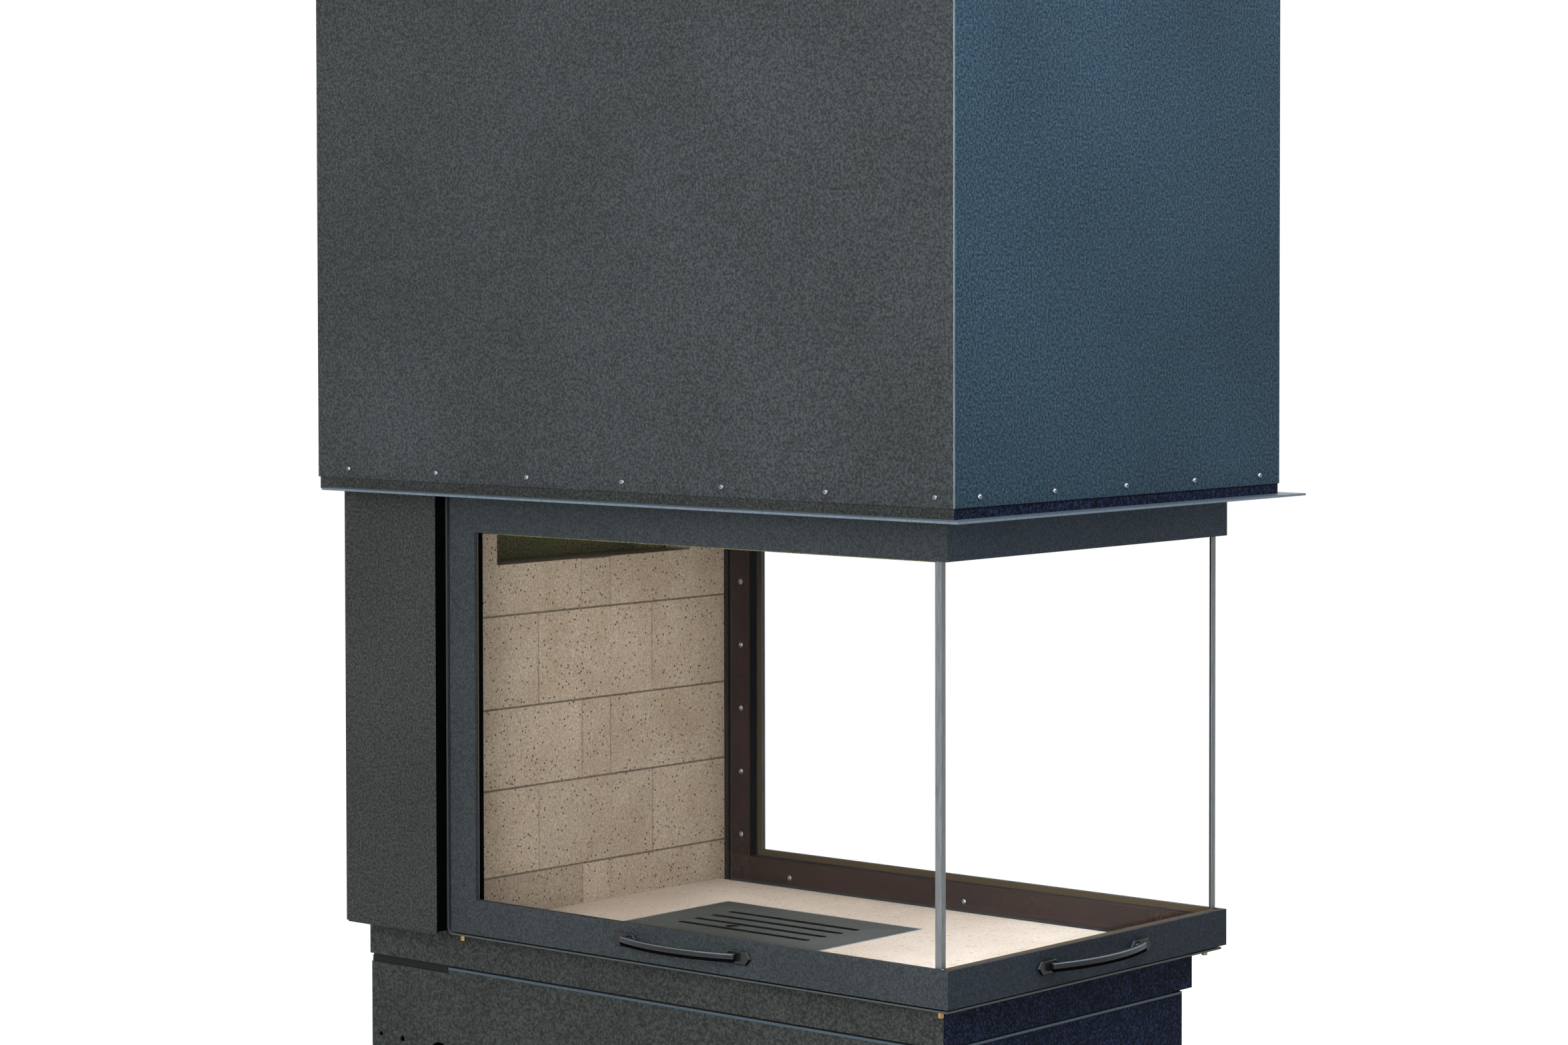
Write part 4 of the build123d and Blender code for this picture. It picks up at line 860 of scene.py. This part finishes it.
@dataclass
class Firebox:
    """Bricks, hearth, grate and the smoke way."""

    joints_mm: dict[str, float] = field(default_factory=lambda: {
        "long_joint_bricks": 30.5, "short_joint_bricks": 121.5, "smoke_opening_bricks": 30.5})
    course_step_mm: float = 90.0
    # Painted shade on the faces of the joints, as a share of the clay's colour: deeper on flat faces than on
    # upright ones.
    flat_joint_shade: float = 0.45
    upright_joint_shade: float = 0.7
    tone_range: tuple[float, float] = (0.78, 1.02)
    tone_seed: int = 5
    slab_edge_mm: float = 1.2
    frame_edge_mm: float = 0.6
    grate_edge_mm: float = 0.9
    pan_edge_mm: float = 0.5
    board_edge_mm: float = 2.0

    def tone(self, piece: bpy.types.Object, joint_mm: float) -> None:
        """Give each brick its own tone, and its joints painted shade, deeper on flat faces, in an attribute
        of its faces.

        Two courses of one node are more than a step apart, so each has a number of its own.

        Args:
            piece: Bricks of some courses.
            joint_mm: Distance of their upright joints from the middle.
        """
        mesh = piece.data
        own = mesh.attributes.new("tone", "FLOAT", "FACE")
        tones: dict[tuple[int, int], float] = {}
        draw = random.Random(self.tone_seed)
        for face in mesh.polygons:
            across = face.center.y / MM
            course = round(face.center.z / MM / self.course_step_mm)
            key = (course, int(across > joint_mm) - int(across < -joint_mm))
            if key not in tones:
                tones[key] = draw.uniform(*self.tone_range)
            # Faces of the joints get painted shade in place of the brick's tone.
            joint = self.flat_joint_shade if abs(face.normal.z) > PLAINLY else self.upright_joint_shade
            own.data[face.index].value = tones[key] if abs(face.normal.x) > SQUARELY else joint

    def dress(self, kit: Kit) -> None:
        """Dress the firebox.

        Args:
            kit: Keeper of the pieces.
        """
        for node, joint_mm in self.joints_mm.items():
            self.tone(kit.eased(node, BRICK, 0.0), joint_mm)
        kit.eased("hearth_slab", HEARTH, self.slab_edge_mm)
        kit.eased("grate_frame", BLUED_STEEL_AND_HIGHLIGHT, self.frame_edge_mm)
        # Its upright faces, down in the slots, get painted shade.
        kit.eased("grate", IRON, self.grate_edge_mm, segments=3, others=[(SHADE, stands)])
        kit.eased("ash_pan", DARK, self.pan_edge_mm)
        kit.eased("baffle_boards", BOARD, self.board_edge_mm)
        kit.paint("hearth_tray", DARK)
        kit.paint("back_plate", INNER)
        for node in ("smoke_duct", "smoke_dome"):
            kit.paint(node, SOOT)
        kit.paint("dome_hangers", ZINC)
        kit.paint("dome_seal", ROPE)


@dataclass
class Handles:
    """Bow handles of the door: a flat bar on two pointed plates, one on the long side and one on the end."""

    length_mm: float = 250.0
    bow_mm: float = 30.0
    bar_depth_mm: float = 8.0
    bar_height_mm: float = 12.0
    bar_round_mm: float = 2.2
    bar_round_steps: int = 3
    bar_steps: int = 40
    # Stations near an end of the bar, from its tip: share of its half length, and share of its full section.
    tip_stations: tuple[tuple[float, float], ...] = ((1.0, 0.45), (0.995, 0.8), (0.985, 1.0))
    # Depth under the bar's middle below which the bar gets painted shade.
    shade_mm: float = 1.2
    plate_length_mm: float = 44.0
    plate_height_mm: float = 18.0
    plate_thickness_mm: float = 3.0
    plate_point_share: float = 0.8
    plate_edge_mm: float = 0.9
    plate_edge_depth_mm: float = 0.7
    post_radius_mm: float = 5.0
    post_inset_mm: float = 10.0
    post_sides: int = 24

    def section(self, scale: float) -> list[tuple[float, float]]:
        """Outline the bar's rounded section, with a corner where its underside of painted shade starts.

        Args:
            scale: Share of the full section.

        Returns:
            Depth and height of each corner, in millimetres.
        """
        points = []
        r = self.bar_round_mm
        for turn in range(4):
            depth = (self.bar_depth_mm / 2 - r) * (1 if turn in (0, 3) else -1)
            height = (self.bar_height_mm / 2 - r) * (1 if turn in (0, 1) else -1)
            for i in range(self.bar_round_steps + 1):
                angle = math.pi / 2 * (turn + i / self.bar_round_steps)
                points.append(((depth + r * math.cos(angle)) * scale, (height + r * math.sin(angle)) * scale))
        points.append((self.bar_depth_mm / 2 * scale, -self.shade_mm * scale))
        return points

    def bar(self, shape: bmesh.types.BMesh) -> None:
        """Sweep the bar along its arc, with rounded ends.

        Args:
            shape: Shape that gets the bar.
        """
        half = self.length_mm / 2 - self.plate_length_mm / 2
        y_end = -self.plate_thickness_mm - self.bar_depth_mm / 2
        rise = self.bow_mm - self.bar_depth_mm / 2 + y_end
        radius = (half ** 2 + rise ** 2) / (2 * rise)
        sweep = math.asin(half / radius)
        full = self.tip_stations[-1][0]
        stations = [(-share, scale) for share, scale in self.tip_stations]
        stations += [(full * (2 * i / self.bar_steps - 1), 1.0) for i in range(1, self.bar_steps)]
        stations += reversed(self.tip_stations)
        rings = []
        for share, scale in stations:
            angle = sweep * share
            x, y = radius * math.sin(angle), y_end - (radius * math.cos(angle) - radius + rise)
            rings.append(corners(shape, [(x + depth * math.sin(angle), y - depth * math.cos(angle), height)
                                         for depth, height in self.section(scale)]))
        skin(shape, rings)

    def plate(self, shape: bmesh.types.BMesh, x: float) -> None:
        """Add one pointed plate with broken edges, and the post that holds the bar to it.

        Args:
            shape: Shape that gets them.
            x: Place of the plate's middle along the handle, in millimetres.
        """
        w, h, t = self.plate_length_mm / 2, self.plate_height_mm / 2, self.plate_thickness_mm
        tip = h * self.plate_point_share
        outline = [(-w, 0), (tip - w, h), (w - tip, h), (w, 0), (w - tip, -h), (tip - w, -h)]
        levels = ((0.0, 0.0), (0.0, self.plate_edge_depth_mm - t), (self.plate_edge_mm, -t))
        skin(shape, [corners(shape, [(x + along * (1 - inset / w), y, up * (1 - inset / h))
                                     for along, up in outline]) for inset, y in levels])
        depth, radius = self.bar_depth_mm * MM, self.post_radius_mm * MM
        place = Matrix.Translation(((x - math.copysign(self.post_inset_mm, x)) * MM, -t * MM - depth / 2, 0))
        bmesh.ops.create_cone(shape, cap_ends=True, segments=self.post_sides, radius1=radius, radius2=radius,
                              depth=depth, matrix=place @ Matrix.Rotation(math.pi / 2, 4, "X"))

    def one(self) -> bpy.types.Mesh:
        """Build one handle along X, its foot on the plane y = 0 and its bow towards -Y.

        Returns:
            Its mesh.
        """
        shape = bmesh.new()
        self.bar(shape)
        for side in (-1, 1):
            self.plate(shape, side * (self.length_mm - self.plate_length_mm) / 2)
        bmesh.ops.recalc_face_normals(shape, faces=shape.faces[:])
        return made_mesh("handle", shape)

    def build(self, kit: Kit) -> bpy.types.Object:
        """Build both handles in the place of their node.

        Args:
            kit: Keeper of the pieces.

        Returns:
            The finished piece.
        """
        low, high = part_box("door_handles")
        half, bow = self.length_mm / 2 * MM, self.bow_mm * MM
        z = (low.z + high.z) / 2

        def in_shade(face: bpy.types.MeshPolygon) -> bool:
            """Tell whether a face looks down or is low on the bar, where it gets painted shade."""
            return faces_down(face) or face.center.z - z < -self.shade_mm * MM

        def on_top(face: bpy.types.MeshPolygon) -> bool:
            """Tell whether a face is on top, where it gets a painted highlight."""
            rise = face.center.z - z
            return face.normal.z > PLAINLY and -self.shade_mm * MM <= rise < self.bar_height_mm / 2 * MM

        shape = bmesh.new()
        near = Matrix.Translation((low.x + half, low.y + bow, z))
        end = Matrix.Translation((high.x - bow, high.y - half, z)) @ Matrix.Rotation(math.pi / 2, 4, "Z")
        for place in (near, end):
            held = self.one()
            held.transform(place)
            shape.from_mesh(held)
            bpy.data.meshes.remove(held)
        mesh = made_mesh("bow_handles", shape)
        smooth(mesh, SMOOTH_FORM_DEG)
        # Low and downward faces get painted shade, and top faces a painted highlight.
        share_out(mesh, ENAMEL, [(SHADE, in_shade), (BLUED_STEEL_AND_HIGHLIGHT, on_top)])
        return kit.settle(in_scene("bow_handles", mesh), "door_handles")


@dataclass
class Door:
    """Lift-up door with its glass, retainers and handles."""

    edge_mm: float = 0.8
    retainer_edge_mm: float = 0.5
    strip_edge_mm: float = 0.4
    handles: Handles = field(default_factory=Handles)
    screws: ScrewSet = field(default_factory=lambda: ScrewSet(
        "retainer_screws", radius_mm=4.5, dome_mm=2.3, socket_mm=1.8, finish=ZINC))

    def dress(self, kit: Kit, tree: bpy.types.NodeTree) -> None:
        """Dress every piece of the door.

        Args:
            kit: Keeper of the pieces.
            tree: The repeating tree.
        """
        # End faces get copies of the paint: painted shade at the foot, and painted cool light on the rails
        # and stiles above.
        kit.eased("door_bottom_rails", DOOR, self.edge_mm, others=[(DOOR_FOOT_END_SHADE, faces_end)])
        for node in ("door_top_rails", "door_stiles"):
            kit.eased(node, DOOR, self.edge_mm, others=[(DOOR_END_COOL_LIGHT, faces_end)])
        # Their end-facing edges get painted shade, a dark line behind the glass.
        kit.eased("glass_retainers", INNER, self.retainer_edge_mm, others=[(SHADE, faces_end)])
        kit.eased("corner_strips", STRIP, self.strip_edge_mm)
        kit.paint("glass_gaskets", TAPE)
        kit.paint("side_glass", GLASS)
        kit.paint("end_glass", GLASS)
        self.handles.build(kit)
        self.screws.build(kit, tree)
        kit.eased("door_hangers", DARK, self.edge_mm)
        kit.eased("guide_blocks", ZINC, self.edge_mm)
        kit.paint("cable_eyes", ZINC)


@dataclass
class Lift:
    """Rods, pulleys, weights and cables inside the hood."""

    strands: int = 6
    strand_sides: int = 6
    lay_mm: float = 22.0
    step_mm: float = 6.0
    bend_steps: int = 12
    cable_radius_mm: float = 2.0

    def dress(self, kit: Kit) -> None:
        """Dress the lift.

        Args:
            kit: Keeper of the pieces.
        """
        for node in ("guide_rods", "front_shaft", "rear_shaft"):
            kit.paint(node, ZINC)
        for node in ("front_pulleys", "rear_pulleys", "counterweight_near", "counterweight_far"):
            kit.paint(node, IRON)
        for node in ("shaft_brackets", "weight_chutes"):
            kit.paint(node, DARK)
        self.cables()

    def strand(self, shape: bmesh.types.BMesh, path: Sequence[Vector], number: int) -> None:
        """Lay one strand, a third of the cable thick, twisted about a path.

        Args:
            shape: Shape that gets it.
            path: Points along the middle of the cable, in metres.
            number: Number of the strand.
        """
        thick = self.cable_radius_mm * MM / 3
        offset = self.cable_radius_mm * MM - thick
        side = Vector((0, 1, 0))
        ways = [(b - a).normalized() for a, b in zip(path, path[1:])]
        ways.append(ways[-1])
        run = 0.0
        rings = []
        for index, (point, way) in enumerate(zip(path, ways)):
            if index:
                run += (point - path[index - 1]).length
            other = way.cross(side).normalized()
            turn = 2 * math.pi * (number / self.strands + run / (self.lay_mm * MM))
            centre = point + offset * (math.cos(turn) * side + math.sin(turn) * other)
            angles = [2 * math.pi * i / self.strand_sides for i in range(self.strand_sides)]
            rings.append([shape.verts.new(centre + thick * (math.cos(angle) * side + math.sin(angle) * other))
                          for angle in angles])
        skin(shape, rings)

    def rope(self, name: str, path: Sequence[Vector]) -> bpy.types.Object:
        """Lay a cable of twisted strands along a path.

        Args:
            name: Name of the piece.
            path: Points along its middle, in metres.

        Returns:
            The cable, not yet on a body.
        """
        shape = bmesh.new()
        for number in range(self.strands):
            self.strand(shape, path, number)
        bmesh.ops.recalc_face_normals(shape, faces=shape.faces[:])
        mesh = made_mesh(name, shape)
        smooth(mesh, SMOOTH_STRAND_DEG)
        share_out(mesh, ZINC)
        return in_scene(name, mesh)

    def between(self, start: Vector, end: Vector) -> list[Vector]:
        """Return evenly spaced points from start to end."""
        count = max(2, round((end - start).length / (self.step_mm * MM)))
        return [start.lerp(end, i / count) for i in range(count + 1)]

    def around(self, pulley: Vector, radius: float, steps: range) -> list[Vector]:
        """Follow a pulley in the plane of X and Z.

        Args:
            pulley: Its middle.
            radius: Radius of the cable's middle on it.
            steps: Steps to take, from 0 at the front to bend_steps at the top and twice that at the rear.

        Returns:
            A point for each step.
        """
        angles = [math.pi / 2 * i / self.bend_steps for i in steps]
        return [pulley + radius * Vector((math.cos(angle), 0, math.sin(angle))) for angle in angles]

    def stretch(self, name: str, body: str, start: tuple[float, float, float],
                end: tuple[float, float, float]) -> bpy.types.Object:
        """Lay an end of a cable, which stretches between its pulley and what it carries.

        Args:
            name: Name of the piece.
            body: Body that it carries.
            start: Point where it leaves the pulley.
            end: Point where it is held.

        Returns:
            The piece.
        """
        piece = self.rope(name, self.between(Vector(start), Vector(end)))
        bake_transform(piece)
        LOG.info("laid %s from root to %s", name, body)
        return piece

    def cables(self) -> None:
        """Lay the cables: an end from each pulley down to the door and one down to each weight, and the run
        over the pulleys, which rides on the root.
        """
        low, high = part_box("cable_runs")
        r = self.cable_radius_mm * MM
        z_shaft, z_top = low[2], high[2] - r
        x_weight, x_door = low[0] + r, high[0] - r
        radius = z_top - z_shaft
        y_side = high[1] - r
        z_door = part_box("door_cables")[0][2]
        z_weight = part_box("weight_cables")[0][2]
        door_ends, weight_ends, runs = [], [], []
        for label, y in (("near", -y_side), ("far", y_side)):
            door_ends.append(self.stretch(f"door_cable_{label}", "door",
                                          (x_door, y, z_shaft), (x_door, y, z_door)))
            weight_ends.append(self.stretch(f"weight_cable_{label}", f"counterweight_{label}",
                                            (x_weight, y, z_shaft), (x_weight, y, z_weight)))
            front, rear = (Vector((x, y, z_shaft)) for x in (x_door - radius, x_weight + radius))
            flat = self.between(Vector((front.x, y, z_top)), Vector((rear.x, y, z_top)))
            top = self.bend_steps
            run = self.rope(f"cable_run_{label}", self.around(front, radius, range(top)) + flat
                            + self.around(rear, radius, range(top + 1, 2 * top + 1)))
            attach(run, "root")
            runs.append(run)
            LOG.info("laid %s on root", run.name)
        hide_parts("door_cables")
        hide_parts("weight_cables")
        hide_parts("cable_runs")


@dataclass(frozen=True)
class Lamp:
    """A square soft box that the camera doesn't see. Its places are in metres."""

    name: str
    place: tuple[float, float, float]
    aim: tuple[float, float, float]
    side_m: float
    watts: float
    colour: str = "#ffffff"

    def hang(self) -> None:
        """Hang the lamp, facing its aim."""
        data = bpy.data.lights.new(self.name, "AREA")
        data.shape = "SQUARE"
        data.size = self.side_m
        data.energy = self.watts
        data.color = linear(self.colour)[:3]
        way = Vector(self.aim) - Vector(self.place)
        turn = way.to_track_quat("-Z", "Y").to_matrix().to_4x4()
        thing = in_scene(self.name, data)
        thing.matrix_world = Matrix.Translation(self.place) @ turn
        thing.visible_camera = False


@dataclass
class Studio:
    """Camera, floor, world and lamps."""

    camera_place_m: tuple[float, float, float] = (3.5300, -4.1019, 1.3264)
    yaw_deg: float = 40.900
    pitch_deg: float = 1.8234
    roll_deg: float = -0.1017
    focal_px: float = 5756.59
    centre_y_px: float = 580.04
    sensor_mm: float = 36.0
    sight_m: float = 100.0
    ambient: float = 0.55
    floor_half_m: float = 30.0
    floor_glow: float = 1.15
    floor_glow_share: float = 0.8
    lamps: tuple[Lamp, ...] = (
        Lamp("key", place=(-0.6, -5.2, 3.0), aim=(0.0, -0.3, 1.0), side_m=3.0, watts=112.0),
        Lamp("side", place=(1.75, -0.4, 2.6), aim=(0.57, -0.3, 1.6), side_m=0.6, watts=46.0,
             colour="#e2ebf6"),
        Lamp("hearth", place=(1.2, -3.5, 1.35), aim=(-0.35, 0.0, 0.6), side_m=1.2, watts=44.0))

    def camera(self) -> None:
        """Set the camera where the photograph was taken, with its framing as a lens shift."""
        yaw, pitch, roll = (math.radians(a) for a in (self.yaw_deg, self.pitch_deg, self.roll_deg))
        ahead = Vector((-math.sin(yaw), math.cos(yaw), 0))
        right = Vector((math.cos(yaw), math.sin(yaw), 0))
        up = Vector((0, 0, 1))
        look = ahead * math.cos(pitch) - up * math.sin(pitch)
        rise = up * math.cos(pitch) + ahead * math.sin(pitch)
        x_axis = right * math.cos(roll) + rise * math.sin(roll)
        y_axis = rise * math.cos(roll) - right * math.sin(roll)
        turn = Matrix((x_axis, y_axis, -look)).transposed()
        data = bpy.data.cameras.new("camera")
        data.sensor_width = self.sensor_mm
        data.sensor_fit = "HORIZONTAL"
        data.lens = self.focal_px * self.sensor_mm / IMAGE_WIDTH
        data.shift_y = -(IMAGE_HEIGHT / 2 - self.centre_y_px) / IMAGE_WIDTH
        data.clip_end = self.sight_m
        thing = in_scene("camera", data)
        thing.matrix_world = Matrix.Translation(self.camera_place_m) @ turn.to_4x4()
        bpy.context.scene.camera = thing

    def world(self) -> None:
        """Light all round, and show plain white where the world is seen, mirrored or behind glass."""
        world = bpy.data.worlds.new("studio")
        bpy.context.scene.world = world
        world.use_nodes = True
        tree = world.node_tree
        path = add_node(tree, "ShaderNodeLightPath").outputs
        seen = add_node(tree, "ShaderNodeMath", {"operation": "MAXIMUM"}, in0=path["Is Camera Ray"],
                        in1=path["Is Glossy Ray"])
        clear = add_node(tree, "ShaderNodeMath", {"operation": "MAXIMUM"}, in0=seen.outputs[0],
                         in1=path["Is Transmission Ray"])
        level = add_node(tree, "ShaderNodeMapRange", Value=clear.outputs[0], To_Min=self.ambient, To_Max=1.0)
        feed(tree.nodes["Background"], Color=linear("#ffffff"), Strength=level.outputs[0])

    def floor(self) -> None:
        """Lay a pale floor that reads white and keeps a soft shadow."""
        half = self.floor_half_m
        mesh = bpy.data.meshes.new("floor")
        square = [(-half, -half, 0), (half, -half, 0), (half, half, 0), (-half, half, 0)]
        mesh.from_pydata(square, [], [(0, 1, 2, 3)])
        material = bpy.data.materials.new("studio_floor")
        material.use_nodes = True
        tree = material.node_tree
        shader = tree.nodes["Principled BSDF"]
        feed(shader, Base_Color=linear("#f7f7f7"), Roughness=0.9, Specular_IOR_Level=0.0)
        path = add_node(tree, "ShaderNodeLightPath").outputs
        seen = add_node(tree, "ShaderNodeMath", {"operation": "MAXIMUM"}, in0=path["Is Camera Ray"],
                        in1=path["Is Transmission Ray"])
        share = add_node(tree, "ShaderNodeMath", {"operation": "MULTIPLY"}, in0=seen.outputs[0],
                         in1=self.floor_glow_share)
        white = add_node(tree, "ShaderNodeEmission", Color=linear("#ffffff"), Strength=self.floor_glow)
        both = add_node(tree, "ShaderNodeMixShader", in0=share.outputs[0], in1=shader.outputs[0],
                        in2=white.outputs[0])
        feed(tree.nodes["Material Output"], Surface=both.outputs[0])
        mesh.materials.append(material)
        in_scene("floor", mesh)

    def build(self) -> None:
        """Build the studio."""
        self.camera()
        self.world()
        self.floor()
        for lamp in self.lamps:
            lamp.hang()
        bpy.context.scene.view_settings.view_transform = "Standard"


def main() -> None:
    """Build the studio and every piece, and log how many nodes were dressed."""
    logging.basicConfig(level=logging.INFO, format="%(name)s: %(message)s")
    Studio().build()
    kit = Kit()
    tree = repeat_tree()
    Hood().dress(kit, tree)
    Casing().dress(kit)
    Firebox().dress(kit)
    Door().dress(kit, tree)
    Lift().dress(kit)
    LOG.info("%d nodes dressed, and the cables laid", kit.made)


if __name__ == "__main__":
    main()
